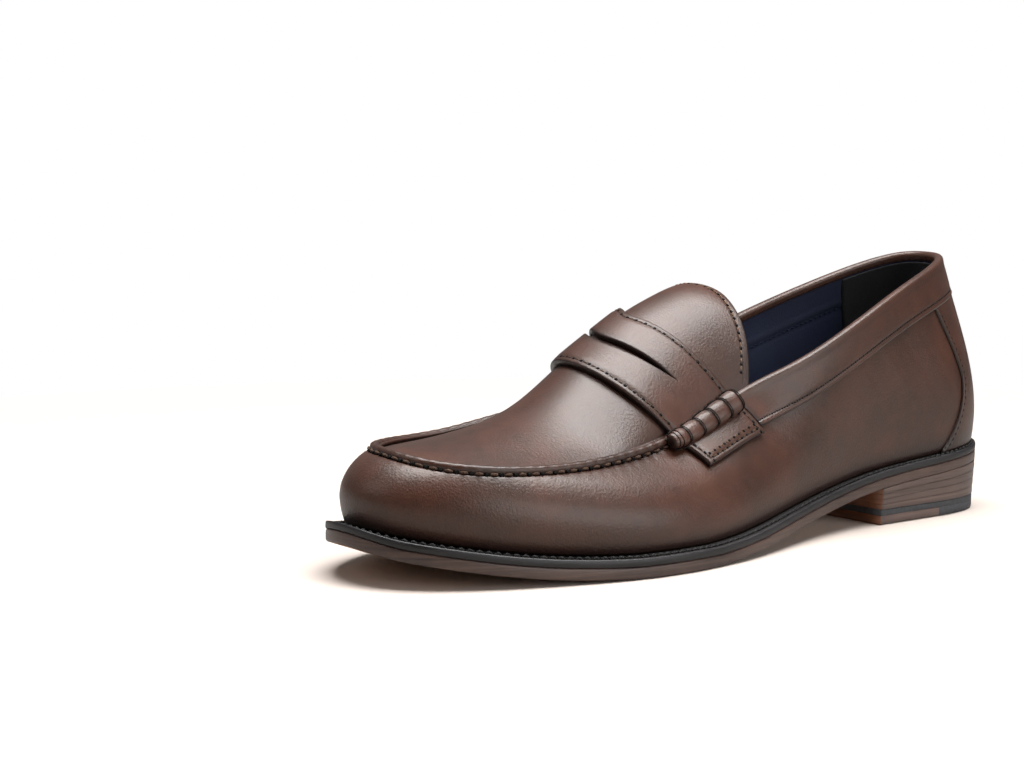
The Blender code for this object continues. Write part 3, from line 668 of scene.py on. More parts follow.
def make_edge(name, light, dark, roughness=0.42, band=(60.0, 60.0, 1.2)):
    """A burnished cut edge of stacked leather: fine streaks that run along the edge."""
    made, tree, shader, place = new_material(name)
    streak = noise(tree, place, 1.0, 5, 0.65, stretch=tuple(1 / b for b in band))
    cloud = noise(tree, place, 20, 3)
    tone = combine(tree, "ADD", remap(tree, streak, 0.3, 0.7, 0, 0.7),
                   remap(tree, cloud, 0.35, 0.65, 0, 0.3))
    set_inputs(tree, shader, {
        "Base Color": mix_colour(tree, tone, dark, light),
        "Roughness": remap(tree, streak, 0.2, 0.8, roughness - 0.08, roughness + 0.12)})
    set_bump(tree, shader, streak, 0.35, 0.2)
    return made


def make_matt(name, light, dark, size, roughness, bump, depth):
    """A dull speckled surface."""
    made, tree, shader, place = new_material(name)
    speckle = noise(tree, place, size, 4, 0.6)
    colour = mix_colour(tree, remap(tree, speckle, 0.3, 0.7), dark, light)
    set_inputs(tree, shader, {"Base Color": colour, "Roughness": roughness})
    set_bump(tree, shader, speckle, bump, depth)
    return made


def make_thread(name, light, dark):
    """Twisted thread without gloss."""
    made, tree, shader, place = new_material(name)
    twist = noise(tree, place, 0.35, 2)
    colour = mix_colour(tree, remap(tree, twist, 0.35, 0.65), dark, light)
    set_inputs(tree, shader, {"Base Color": colour, "Roughness": 0.75, "Specular IOR Level": 0.2})
    set_bump(tree, shader, twist, 0.4, 0.1)
    return made


def make_metal(name, colour, roughness):
    """Brushed metal."""
    made, tree, shader, place = new_material(name)
    brushed = noise(tree, place, 0.6, 3, 0.6, stretch=(1, 0.1, 1))
    rough = remap(tree, brushed, 0.2, 0.8, roughness - 0.1, roughness + 0.1)
    set_inputs(tree, shader, {"Base Color": (*colour, 1), "Roughness": rough, "Metallic": 1.0})
    return made


# Colours run from light to dark. After them come, with sizes in millimetres: for leather the roughness and
# the size of the grain; for edges the roughness and the streaks' size along x, y and z; for matt looks the
# size of the speckles, the roughness, and the strength and depth of the bumps.
BROWN = make_leather("calf_brown", (0.082, 0.0285, 0.0155), (0.031, 0.0130, 0.0082), (0.008, 0.003, 0.0022),
                     0.40, 0.75, grain=0.42, coat=0.16)
NAVY = make_leather("lining_navy", (0.0035, 0.010, 0.038), (0.002, 0.006, 0.023), (0.001, 0.002, 0.006),
                    0.68, 0.7)
SUEDE = make_matt("suede_black", (0.010, 0.010, 0.012), (0.004, 0.004, 0.005), 0.5, 0.95, 0.5, 0.3)
WELT_BLACK = make_leather("welt_black", (0.012, 0.010, 0.010), (0.008, 0.007, 0.007), (0.004, 0.003, 0.003),
                          0.55)
WELT_EDGE = make_edge("welt_edge", (0.018, 0.016, 0.018), (0.006, 0.005, 0.005), 0.44)
SOLE_EDGE = make_edge("sole_edge", (0.125, 0.074, 0.057), (0.026, 0.016, 0.015), 0.36, (45.0, 45.0, 0.8))
HEEL_EDGE = make_edge("heel_edge", (0.16, 0.105, 0.088), (0.05, 0.030, 0.026), 0.38, (90.0, 90.0, 0.9))
SOLE_TAN = make_leather("sole_tan", (0.50, 0.25, 0.11), (0.42, 0.19, 0.08), (0.10, 0.045, 0.025),
                        0.5, 1.2, grain=0.15)
# The breast is lighter and warmer than the heel's edges: its own brown colour with painted bounce light.
BREAST = make_edge("heel_breast", (0.30, 0.115, 0.055), (0.11, 0.045, 0.026), 0.4, (60.0, 60.0, 1.5))
RUBBER = make_matt("rubber_black", (0.056, 0.056, 0.061), (0.030, 0.030, 0.033), 1.2, 0.62, 0.3, 0.15)
BOARD = make_matt("leatherboard", (0.36, 0.25, 0.15), (0.25, 0.17, 0.10), 1.5, 0.85, 0.4, 0.2)
CORK = make_matt("cork", (0.40, 0.24, 0.12), (0.12, 0.06, 0.03), 2.2, 0.9, 0.7, 0.5)
STEEL = make_metal("steel", (0.55, 0.55, 0.57), 0.35)
THREAD_DARK = make_thread("thread_dark", (0.022, 0.012, 0.008), (0.006, 0.004, 0.003))
# Near black: painted shade inside the needle holes.
HOLE = make_thread("needle_hole", (0.003, 0.0015, 0.0012), (0.001, 0.0006, 0.0005))
THREAD_SEAM = make_thread("thread_seam", (0.105, 0.063, 0.043), (0.034, 0.019, 0.013))
THREAD_TAN = make_thread("thread_tan", (0.27, 0.17, 0.105), (0.09, 0.052, 0.034))
THREAD_BROWN = make_thread("thread_brown", (0.15, 0.085, 0.052), (0.05, 0.027, 0.016))
THREAD_GREY = make_thread("thread_grey", (0.045, 0.045, 0.045), (0.012, 0.012, 0.012))
THREAD_NAVY = make_thread("thread_navy", (0.008, 0.013, 0.034), (0.003, 0.005, 0.012))


# ---------------------------------------------------------------- upper
def noise_1d(values, period, seed):
    """A smooth wandering line between -1 and 1, the same every run."""
    waves = sum(np.sin(values * 2 * math.pi / period * k + seed * (k + 1.7)) / k for k in (1, 2.3, 3.9))
    return waves / 1.8


def build_vamp():
    """The moccasin wall, puckered along the seam and gently uneven behind it."""
    stations = np.linspace(0.0, LOOP, 1001)
    heights = np.r_[0, 0.01, 0.025, np.linspace(0.05, 0.9, 40), np.linspace(0.91, 1, 10)]
    s, h = np.meshgrid(stations, heights, indexing="ij")
    skin = wall_skin(s, h)
    y = skin[..., 1]
    drop = (1 - h) * 30
    lengths = arc_positions(top_edge(stations))[:, None]
    front = 1 - smoothstep(-165, -140, y)
    offset = -0.14 * np.cos(lengths * 2 * math.pi / SEAM_PITCH) * np.exp(-drop / 2.2) * front
    offset = offset - 0.45 * hump(drop, 0.4, 1.4) * front
    offset = offset + 0.36 * noise_1d(y + 52 * h, 21, 0.4) * smoothstep(-170, -150, y) * (1 - h) * h
    offset = offset - rounded(h * 30, 1.0)
    outer = wall(s, h, offset)
    inner = wall(s, h, -1.5)
    low = 1 - smoothstep(0, 0.2, h)
    for points in (outer, inner):
        above_welt = sole_bottom(outline(s)[..., 1]) - sole_bottom(points[..., 1])
        points[..., 2] -= low * np.maximum(above_welt, 0)
        points[:, 0, 2] -= 0.5
    # Darker towards the welt at the foot of the wall, painted shade in the groove under the seam bead, and
    # random tone.
    base = 1 - smoothstep(0.0, 0.16, h)
    seam = np.exp(-drop / 2.2) * front
    shade = 0.85 * base ** 1.4 + 0.8 * seam + 0.12 * noise_1d(y, 37, 1.0) * (1 - base)
    sheet("vamp_wall", outer, inner, BROWN, SHOE, shade, "vamp")


def build_apron():
    """The top of the toe, which dips to the seam all round."""
    lead = np.linspace(0, 1, 120) ** 0.8
    stations = TOE - 0.12 - (TOE - 0.12 - 6.9) * lead
    inset = (0.9 + 1.5 * smoothstep(7.6, 8.8, stations))[:, None]
    across = np.sin(np.linspace(-1, 1, 71) * math.pi / 2)
    rim = []
    for side_of in (stations, LOOP - stations):
        rim.append(top_edge(side_of)[..., :2] - plan_outward(top_edge, side_of) * inset)
    share = (1 + across)[None, :, None] / 2
    station, place = arch_place(rim[1][:, None] * (1 - share) + rim[0][:, None] * share)
    skin = arch_skin(station, place)
    _, lateral = edge_distance(skin)
    down = 0.9 * np.exp(-lateral / 2.2)
    outer = arch(station, place, 0.35 - down)
    inner = arch(station, place, -1.2 - down)
    # Painted shade in the dip beside the seam, and painted shade next to and under the strap.
    shade = 0.55 * np.exp(-lateral / 3.0) + 0.25 * smoothstep(-178, -160, skin[..., 1])
    sheet("apron_top", outer, inner, BROWN, SHOE, shade, "apron")


def build_seam():
    """The raised moccasin seam: a gathered bead, a thin inner lip and long hand stitches."""
    stations = np.linspace(SEAM_START, LOOP - SEAM_START, 900)
    point, up, inward = seam_frame(stations)
    from_end = np.minimum(stations - SEAM_START, LOOP - SEAM_START - stations)
    taper = smoothstep(0, 0.2, from_end)[:, None]
    pleat = np.cos(arc_positions(point) * 2 * math.pi / SEAM_PITCH)[:, None]
    angles = round_angles(20)
    for name, reach, lift, wide, high, pleats in (
            ("seam_bead", 1.6, 0.5, 1.5, 1.6, 0.04), ("seam_lip", 3.3, 0.1, 0.6, 0.6, 0.0)):
        swell = (1 + pleats * pleat) * (0.5 + 0.5 * taper)
        sections = rings(point + inward * reach + up * lift * taper, inward, up,
                         wide * np.cos(angles) * swell, high * np.sin(angles) * swell)
        # The bead is darker all over, with painted shade on its underside and in the folds between its
        # pleats.
        shade = 0.3 + 0.6 * np.clip(-np.sin(angles), 0, 1) + 0.15 * (1 - pleat) / 2
        sweep(name, sections, BROWN, shade)
    stitches("seam_stitches", point - inward * 0.15 + up * 0.15, unit(up - inward * 0.9), THREAD_SEAM,
             pitch=SEAM_PITCH, length=3.4, radius=0.54, sink=-0.05, hole=0.98, node="apron_seam_thread")


def strap_grid():
    """Girth and share of the strap's grid, with the slot's two sides at the middle rows."""
    leg = 1 + np.r_[np.linspace(0.02, 0.9, 26), 0.94, 0.965, 0.985, 0.995, 1.0]
    end = np.linspace(SLOT_REACH, 0.99, 18)[1:]
    slot = SLOT_REACH * np.sin(np.linspace(-1, 1, 81) * math.pi / 2)
    girth = np.r_[-leg[::-1], -end[::-1], slot, end, leg]
    lens = np.clip(girth / SLOT_REACH, -1, 1) ** 2
    middle = 0.49 + 0.075 * lens
    half = SLOT_HALF * (1 - lens)
    ends = np.array([0, 0.006, 0.016, 0.032, 0.06, 0.085, 0.11, 0.14])
    front = np.r_[ends, np.linspace(0.17, 0.8, 12), 0.86, 0.91, 0.95, 0.975, 0.99, 1.0]
    rows = [share * (middle - half) for share in front]
    rows += [middle + half + share * (1 - middle - half) for share in 1 - front[::-1]]
    return np.array(rows), girth, half, middle, len(front)


def slotted_sheet(name, outer, inner, slot_row, columns_open, shade, node):
    """A sheet whose rows slot_row and slot_row + 1 bound a slot; elsewhere those two rows are one."""
    rows, columns = outer.shape[:2]
    count = rows * columns
    index = np.arange(count).reshape(rows, columns)
    joined = ~columns_open
    index[slot_row + 1, joined] = index[slot_row, joined]
    faces = []
    for r in range(rows - 1):
        if r != slot_row:
            quad = np.stack([index[r, :-1], index[r, 1:], index[r + 1, 1:], index[r + 1, :-1]], -1)
            faces += [quad, quad[:, ::-1] + count]
    beside_open = columns_open[:-1] | columns_open[1:]
    walls = [(index[r, :-1], index[r, 1:]) for r in (0, rows - 1)]
    walls += [(index[r, :-1][beside_open], index[r, 1:][beside_open]) for r in (slot_row, slot_row + 1)]
    walls += [(index[:-1, c], index[1:, c]) for c in (0, columns - 1)]
    for a, b in walls:
        wide = a != b
        a, b = a[wide], b[wide]
        faces.append(np.stack([a, b, b + count, a + count], -1))
    points = np.concatenate([outer.reshape(-1, 3), inner.reshape(-1, 3)])
    made = make_object(name, points, np.concatenate(faces), BROWN, SHOE,
                       np.tile(shade.ravel(), 2), node)
    shape = bmesh.new()
    shape.from_mesh(made.data)
    bmesh.ops.delete(shape, geom=[v for v in shape.verts if not v.link_faces], context="VERTS")
    shape.to_mesh(made.data)
    shape.free()


def build_strap():
    """The saddle strap, padded a little between its edges, with the coin slot cut through it."""
    share, girth, half, middle, split = strap_grid()
    girth_grid = np.broadcast_to(girth, share.shape)
    skin = strap_point(share, girth_grid, 1.2)
    width = np.linalg.norm(skin[-1] - skin[0], axis=1)[None, :]
    tab_end = np.where(np.abs(girth_grid) > 1, (2 - np.abs(girth_grid)) * 17, 99.0)
    opening = half * width
    to_slot = np.abs(np.abs(share - middle) * width - opening)
    inside = np.minimum(np.minimum(share * width, (1 - share) * width), tab_end)
    thick = STRAP_THICK - rounded(inside, 0.9)
    slot_round = np.clip(opening / 0.8, 0, 1) * rounded(to_slot, 0.8)
    puff = 0.35 * smoothstep(0, 5, inside) - 0.25 * hump(inside, 2.3, 0.55)
    top = STRAP_LIFT + thick + strap_proud(share, girth_grid) + puff - slot_round
    outer = strap_point(share, girth_grid, top)
    inner = strap_point(share, girth_grid, STRAP_LIFT + 0.25 * (rounded(inside, 0.9) > 0.3) - 0.25)
    # Darker cut edges, painted shade in the groove along the stitches, darker round the slot (its dark cut
    # edge and painted shade inside it), and painted shade where the rolls lie on the strap.
    shade = 0.95 * np.exp(-inside / 0.9) + 0.55 * hump(inside, 2.3, 0.7)
    shade = shade + np.exp(-to_slot / 1.2) * np.clip(opening / 0.5, 0, 1)
    shade = shade + 0.25 * hump(np.abs(girth_grid), 1, 0.08)
    slotted_sheet("strap_saddle", outer, inner, split - 1, half > 1e-6, shade, "strap")
    sew_strap(girth, width[0])


def sew_strap(girth, width):
    """Stitches along both edges of the strap, and two rows at the end of each tab."""
    dense = np.linspace(-1.95, 1.95, 500)
    edge = 2.3 / np.interp(dense, girth, width)
    kept = (np.abs(dense) < 0.9) | (np.abs(dense) > 1.12)
    parts = np.split(np.arange(500), np.where(np.diff(kept.astype(int)))[0] + 1)
    for name, line in (("strap_front_stitches", edge), ("strap_rear_stitches", 1 - edge)):
        height = STRAP_LIFT + STRAP_THICK - 0.06 + strap_proud(line, dense)
        path = strap_point(line, dense, height)
        ups = unit(strap_point(line, dense, height + 1.0) - path)
        for number, part in enumerate(parts):
            if kept[part[0]]:
                stitches(f"{name}_{number}", path[part], ups[part], THREAD_SEAM,
                         pitch=4.0, length=3.1, radius=0.27, hole=0.72)
    across = np.linspace(0.1, 0.9, 60)
    for sign, side_name in ((1, "lateral"), (-1, "medial")):
        for number, girth_line in enumerate((1.85, 1.74)):
            line = np.full(60, sign * girth_line)
            sew(f"tab_stitches_{side_name}_{number}", lambda up: strap_point(across, line, up),
                STRAP_LIFT + STRAP_THICK - 0.05 + 0.32 * number, THREAD_BROWN,
                length=1.8, radius=0.3, hole=0.6)


def roll_section(angles):
    """Sideways and upward shares of the roll's flattened cross-section."""
    across, rise = np.cos(angles), np.sin(angles)
    return 1.05 * np.sign(across) * np.abs(across) ** 0.8, 0.84 * np.sign(rise) * np.abs(rise) ** 0.8


def roll_wraps(middle, swell, up, inward, places):
    """Closed loops of thread round the roll, at places counted in its sections."""
    around, sides = 32, 8
    turn = round_angles(sides)
    side_way, up_way = roll_section(round_angles(around))
    loop = ring_faces(around, sides, True)
    parts, faces = [], []
    for number, place in enumerate(places):
        i = int(place)
        centre = middle[i] + (middle[i + 1] - middle[i]) * (place - i)
        tangent = unit(np.cross(up[i], inward[i]))
        radial = rings(np.zeros(3), inward[i], up[i], side_way, up_way)
        spot = centre + radial * (swell[i] + 0.1) - tangent * (0.5 * np.maximum(up_way, 0))[:, None]
        parts.append(rings(spot, unit(radial), tangent[None, :],
                           THREAD_RADIUS * np.sin(turn), THREAD_RADIUS * np.cos(turn)).reshape(-1, 3))
        faces += (loop + number * around * sides).tolist()
    return np.concatenate(parts), faces


def build_roll(node, medial):
    """One roll of leather lashed with thread over the seam, from its front end to its rear end."""
    count = 201
    t = np.linspace(0, 1, count)
    stations = 7.36 - 1.19 * t
    point, up, inward = seam_frame(LOOP - stations if medial else stations)
    radius = 3.1 + 1.25 * t
    ends = (1 - np.abs(2 * t - 1) ** 60) ** 0.5 * (0.86 + 0.14 * smoothstep(0.02, 0.17, t))
    wave = np.abs(np.sin(t * math.pi * ROLL_BULGES)) ** 0.4
    swell = radius * (0.77 + 0.23 * wave) * (0.35 + 0.65 * ends)
    angles = round_angles(32)
    middle = point + up * (STRAP_LIFT + STRAP_THICK + radius * 0.42)[:, None] - inward * 0.6
    side_way, up_way = roll_section(angles)
    sections = rings(middle, inward, up, side_way * swell[:, None], up_way * swell[:, None])
    # Painted shade in the pinches between the bulges and on the roll's underside.
    shade = 0.05 + 0.9 * (1 - wave)[:, None] + 0.8 * np.clip(0.25 - np.sin(angles), 0, 1)
    sweep(f"{node}_leather", sections, BROWN, shade, node)
    pinches = [k / ROLL_BULGES + shift for k in range(1, ROLL_BULGES) for shift in (-0.011, 0.011)]
    pinches += [0.04, 0.085, 0.955, 0.978]
    points, faces = roll_wraps(middle, swell, up, inward, np.array(pinches) * (count - 1))
    make_object(f"{node}_thread", points, faces, THREAD_DARK, SHOE)
    for sign, row in ((1, "upper"), (-1, "lower")):
        path = middle + inward * (sign * (swell + 0.45))[:, None]
        path = path - up * ((0.25 - 0.1 * sign) * swell)[:, None]
        stitches(f"{node}_{row}_stitches", path[6:-4], unit(up + inward * sign * 0.6)[6:-4],
                 THREAD_DARK, pitch=3.4, length=2.8, radius=0.42, sink=-0.1, hole=0.6)


def build_collar():
    """The topline band: a folded lower edge, and a rolled top edge that turns over to the inside."""
    stations = np.linspace(-COLLAR_END, COLLAR_END, 801)
    roll = np.linspace(0, math.pi, 13)
    over = [(0.2 - 1.75 * math.sin(a), -0.35 + 1.85 * math.cos(a)) for a in roll]
    profile = [(15.0, 0.2), (15.15, 0.6), (15.0, 1.1), (14.6, 1.5), (14.0, 1.68), (13.4, 1.6), (12.9, 1.38),
               (12.6, 1.30), (12.3, 1.38), (11.8, 1.48), (10.5, 1.55), (9.0, 1.55), (7.5, 1.55), (6.0, 1.52),
               (4.5, 1.48), (3.2, 1.42), (2.2, 1.40), (1.2, 1.45)]
    profile += over
    profile += [(0.8, -2.2), (1.4, -2.25), (1.9, -2.2), (2.2, -2.0), (2.1, -1.6), (1.5, -0.5), (1.5, 0.1)]
    drops, offsets = np.array(profile).T[:, None, :]
    near_end = smoothstep(3, COLLAR_END, np.abs(stations))

    def leaning(drop):
        """Stations of the band's slanted ends, at drops down from the topline."""
        return stations[:, None] * (1 - COLLAR_SLANT * drop / COLLAR_WIDTH * near_end[:, None])

    sections = side(leaning(drops), drops, offsets)
    # Painted shadow along the underside of the folded lower edge, painted shade in the stitch groove and in
    # the crease under the rolled top edge; the band's cut ends are darker.
    shade = 0.9 * hump(drops, 15.2, 0.55) + 0.5 * hump(drops, 12.6, 0.6) + 0.25 * hump(drops, 2.2, 0.8)
    end = smoothstep(COLLAR_END - 0.12, COLLAR_END, np.abs(stations))[:, None]
    sweep("collar_band", sections, BROWN, shade + 0.7 * end, "collar")
    line = leaning(12.6)[:, 0]
    sew("collar_stitches", lambda up: side(line, 12.6, up), 1.28, THREAD_DARK,
        pitch=2.6, length=1.8, radius=0.28, hole=0.52)
    sew("topline_inside_stitches", lambda up: side(stations, 1.5, -up), 2.2, THREAD_DARK,
        pitch=2.8, length=1.8, radius=0.2)


def backstay_reach(share):
    """Station of the backstay's edge, at a share of its height."""
    low = np.clip((0.48 - share) / 0.48, 0, 1)
    high = np.clip((share - 0.48) / 0.52, 0, 1)
    return 1.79 + 0.58 * low ** 1.6 + 0.35 * high ** 1.2


def backstay_height(station, share):
    """Height share on the wall, from just above the welt to under the collar."""
    return 0.004 * (1 - share) + height_at_drop(station, COLLAR_WIDTH - 1.5) * share


def build_backstay():
    """The crescent patch at the heel, stitched near its edges."""
    share = np.linspace(0, 1, 60)[None, :]
    across = np.r_[-1, -0.995, -0.985, -0.97, -0.94, np.linspace(-0.9, 0.9, 71), 0.94, 0.97, 0.985, 0.995, 1]
    grid = across[:, None] * backstay_reach(share)
    heights = backstay_height(grid, share)
    skin = wall_skin(grid, heights)
    to_side, _ = edge_distance(skin)
    fall = rounded(to_side, 0.9)
    outer = wall(grid, heights, 1.25 - fall - 0.2 * hump(to_side, 2.2, 0.5))
    inner = wall(grid, heights, -0.1)
    # Darker cut edges, painted shade in the stitch groove, and darker towards the welt at the foot.
    shade = 0.9 * np.exp(-to_side / 0.8) + 0.35 * hump(to_side, 2.2, 0.6)
    shade = shade + 0.7 * (1 - smoothstep(0, 0.15, heights))
    sheet("backstay_patch", outer, inner, BROWN, SHOE, shade, "backstay")
    share = np.linspace(0.03, 0.93, 120)
    for sign, side_name in ((1, "lateral"), (-1, "medial")):
        reach = sign * (backstay_reach(share) - 0.06)
        sew(f"backstay_stitches_{side_name}", lambda up: wall(reach, backstay_height(reach, share), up),
            1.05, THREAD_DARK, pitch=2.6)


def build_tongue():
    """The tongue bends behind the strap, so one sheet runs from under the strap to the free edge."""
    edge = 0.985
    columns = np.r_[-1, -0.995, -0.985, -0.965, -0.94, np.linspace(-0.9, 0.9, 91),
                    0.94, 0.965, 0.985, 0.995, 1]
    share = np.r_[np.linspace(0, 0.93, 70), 0.95, 0.965, 0.98, 0.99, 0.995, 1.0]
    for name, node, low, high, trim, look, slot in (
            ("tongue_leather", "tongue", -1.45, 0.0, 0.0, BROWN, "brown_leather"),
            ("tongue_inside", "tongue_lining", -2.6, -1.5, 0.035, NAVY, "blue_lining")):
        across = columns[None, :] * (edge - trim)
        front = strap_rear(across) + 0.45
        rear = tongue_rear(across) + trim
        station = front * (1 - share[:, None]) + rear * share[:, None]
        across = np.broadcast_to(across, station.shape)
        skin = arch_skin(station, across)
        to_end, to_side = edge_distance(skin)
        to_end = np.where(share[:, None] > 0.5, to_end, 99)
        inside = np.minimum(to_end, to_side)
        fall = rounded(inside, 0.6)
        groove = 0.2 * hump(inside, 3.0, 0.5) if node == "tongue" else 0
        outer = arch(station, across, high - fall - groove)
        inner = arch(station, across, low + fall * 0.6)
        # Darker cut edges, painted shade in the groove by the stitches, painted shade under the strap, and
        # painted shade on the lateral side, which faces away from the light.
        shade = 0.95 * np.exp(-inside / 0.7) + 0.3 * hump(inside, 3.0, 0.6)
        under = 1 - smoothstep(0.0, 0.35, share)[:, None]
        shade = shade + 0.5 * under + 0.3 * smoothstep(0.0, 0.55, across)
        made = sheet(name, outer, inner, look, None, shade, node)
        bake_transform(made)

    across = np.linspace(-0.9, 0.97, 400)
    slope = (tongue_rear(across + 0.01) - tongue_rear(across - 0.01)) / 0.02
    lean = np.arctan(slope)
    station = tongue_rear(across) + TONGUE_STITCH * np.cos(lean)
    across = across - TONGUE_STITCH * np.sin(lean)
    made = sew("tongue_stitches", lambda up: arch(station, across, up), -0.06, THREAD_TAN, None,
               pitch=3.2, length=2.4, radius=0.31, hole=0.62)
    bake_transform(made)


def inside_of(drop):
    """Offset of the inner skin from the last, at a drop from the topline."""
    return -2.1 - 1.8 * smoothstep(2, 26, drop)


def lining(name, node, first, last, top_drop, count, look, deeper=None, thick=0.9, seam=None):
    """An inner skin between two stations; seam is the drop of a sewn seam that puckers it."""
    drops = np.r_[top_drop, top_drop + 0.4, np.linspace(top_drop + 1, 80, 60)]
    s, d = np.meshgrid(np.linspace(first, last, count), drops, indexing="ij")
    h = height_at_drop(s, d)
    offset = inside_of(d)
    shade = np.zeros(d.shape)
    if deeper is not None:
        offset = offset - deeper(s)
    # Where a seam puckers the skin, painted shade lies in its dip.
    if seam is not None:
        offset = offset - 0.35 * hump(d, seam, 0.8) + 0.3 * hump(d, seam + 1.6, 0.7)
        shade = 0.4 * hump(d, seam, 0.8)
    sheet(name, wall(s, h, offset), wall(s, h, offset + thick), look, SHOE, shade, node)


def build_linings():
    """Inner skins of the shoe, with a seam that runs along under the topline."""
    lining("lining_quarters", "quarter_lining", -5.9, 5.9, 1.7, 500, NAVY, seam=12.4)
    lining("lining_vamp", "vamp_lining", 5.6, LOOP - 5.6, 1.5, 500, NAVY)
    lining("heel_grip_suede", "heel_grip", -GRIP_STATION, GRIP_STATION, 2.6, 160, SUEDE,
           lambda s: 0.75 - rounded((GRIP_STATION - np.abs(s)) * 22, 0.7), thick=0.7)
    stations = np.linspace(-5.6, 5.6, 600)
    sew("lining_seam_stitches", lambda up: side(stations, 14.0, inside_of(14.0) - up), -0.05,
        THREAD_NAVY, pitch=2.6, radius=0.26)

    station, across = np.meshgrid(np.linspace(6.0, TOE - 0.5, 60), np.linspace(-0.93, 0.93, 31),
                                  indexing="ij")
    station = np.maximum(station, strap_rear(across) + 0.3)
    sheet("lining_apron", arch(station, across, -1.7), arch(station, across, -2.6), NAVY, SHOE,
          np.zeros(station.shape), "apron_lining")


# ---------------------------------------------------------------- sole and heel
def half_widths(ys, inset):
    """x of the lateral and the medial side of the outline, moved in by inset, at each y."""
    found = []
    for first in (0, LOOP):
        points = inset_outline(np.linspace(first, TOE, 1500), inset)
        found.append(np.interp(ys, points[::-1, 1], points[::-1, 0]))
    return found


def slab_level(inset, height, first, last, rows):
    """A grid that fills the sole outline, or its part from first to last, at height(y)."""
    low = outline(TOE)[1] + inset + 0.02 if first is None else first
    high = outline(0.0)[1] - inset - 0.02 if last is None else last
    if first is None:
        ys = (low + high) / 2 - (high - low) / 2 * np.cos(np.linspace(0, math.pi, rows))
    else:
        ys = low + (high - low) * np.sin(np.linspace(0, math.pi / 2, rows))
    lateral, medial = half_widths(ys, inset)
    share = np.linspace(0, 1, SLAB_COLUMNS)
    x = lateral[:, None] * (1 - share) + medial[:, None] * share
    return np.stack(np.broadcast_arrays(x, ys[:, None], height(ys)[:, None]), -1)


def slab(name, layers, looks, node=None, first=None, last=None, rows=190):
    """A slab that follows the sole outline; looks are for the underside, the sides and the heel breast.

    Layers run upwards, each with its inset from the outline and its height as a function of y.
    """
    grids = [slab_level(inset, height, first, last, rows) for inset, height in layers]
    count = rows * SLAB_COLUMNS
    rim = grid_rim(rows, SLAB_COLUMNS)
    between = [grid.reshape(-1, 3)[rim] for grid in grids[1:-1]]
    points = np.concatenate([grids[0].reshape(-1, 3), grids[-1].reshape(-1, 3), *between])
    loops = np.arange(2 * count, len(points)).reshape(-1, len(rim))
    loops = [rim, *loops, rim + count]
    faces = [grid_faces(rows, SLAB_COLUMNS), grid_faces(rows, SLAB_COLUMNS, count, True)]
    underside = len(faces[0])
    for low, high in zip(loops, loops[1:]):
        faces.append(np.stack([low, np.roll(low, -1), np.roll(high, -1), high], -1))
    to_edge = [np.minimum(*edge_distance(grid)).ravel() for grid in (grids[0], grids[-1])]
    to_edge = np.concatenate([*to_edge, np.zeros(len(points) - 2 * count)])
    made = make_object(name, points, np.concatenate(faces), looks, SHOE, np.exp(-to_edge / 2.5), node)
    sides = made.data.polygons[underside:]
    materials = np.zeros(len(made.data.polygons), np.int32)
    if len(looks) > 1:
        materials[underside:] = 1
    if len(looks) > 2:
        breast = [p.center[1] < (first + 0.5) * MM and p.normal[1] < -0.9 for p in sides]
        materials[underside:][breast] = 2
    made.data.polygons.foreach_set("material_index", materials)
    made.data.update()


def over_sole(lift):
    """A height function, lift millimetres over the sole's underside."""
    return lambda y: sole_bottom(y) + lift


def in_heel(share, lift):
    """A height function between the top piece, share 0, and the sole's underside, share 1."""
    return lambda y: TOP_PIECE + (sole_bottom(y) - TOP_PIECE) * share + lift


def flat(z):
    """A height function that is z everywhere."""
    return lambda y: np.full_like(y, z)


def edge_profile(low, high, inset, corner):
    """Insets and heights of an edge with round corners, from below upwards."""
    turn = np.linspace(0, math.pi / 2, 5)
    below = [(inset + corner * (1 - math.sin(a)), low + corner * (1 - math.cos(a))) for a in turn]
    return below + [(edge, low + high - z) for edge, z in below[::-1]]


def build_outsole():
    """The leather outsole, round at its edge."""
    layers = [(inset, over_sole(lift)) for inset, lift in edge_profile(0, OUTSOLE, 0.1, 0.8)]
    slab("outsole_leather", layers, [SOLE_TAN, SOLE_EDGE], "outsole")


def build_welt():
    """The welt runs round the shoe and in under the upper; its stitches lie in a groove."""
    stations = np.linspace(0, LOOP, 1201)[:-1]
    reach = margin(outline(stations)[:, 1])
    groove = reach * WELT_STITCH
    edge = [(1.4, OUTSOLE + 0.02), (0.35, OUTSOLE + 0.05), (0.05, OUTSOLE + 0.4), (0.0, OUTSOLE + 1.4),
            (0.05, WELT_TOP - 0.55), (0.25, WELT_TOP - 0.15), (0.7, WELT_TOP)]
    top = [(1.3, WELT_TOP), (groove, WELT_TOP - 0.35), (groove + 0.8, WELT_TOP - 0.05),
           (reach, WELT_TOP + 0.1), (reach + 3, WELT_TOP), (reach + 3, OUTSOLE + 0.3)]
    sections = []
    for inset, lift in edge + top:
        plan = inset_outline(stations, inset)
        sections.append(np.c_[plan, sole_bottom(plan[:, 1]) + lift])
    made = sweep("welt_strip", np.stack(sections, 1), [WELT_BLACK, WELT_EDGE], 0.0, "welt",
                 closed=True)
    place = np.arange(len(made.data.polygons)) % len(sections)
    made.data.polygons.foreach_set("material_index", (place < len(edge) - 1).astype(np.int32))

    stations = np.linspace(0, LOOP, 1600)
    plan = inset_outline(stations, margin(outline(stations)[:, 1]) * WELT_STITCH)
    path = np.c_[plan, sole_bottom(plan[:, 1]) + WELT_TOP + 0.02]
    stitches("welt_stitches", path, np.tile([0.0, 0.0, 1.0], (len(path), 1)), THREAD_GREY,
             pitch=3.1, length=2.5, radius=0.5, sink=0.0, hole=0.5, node="welt_thread")


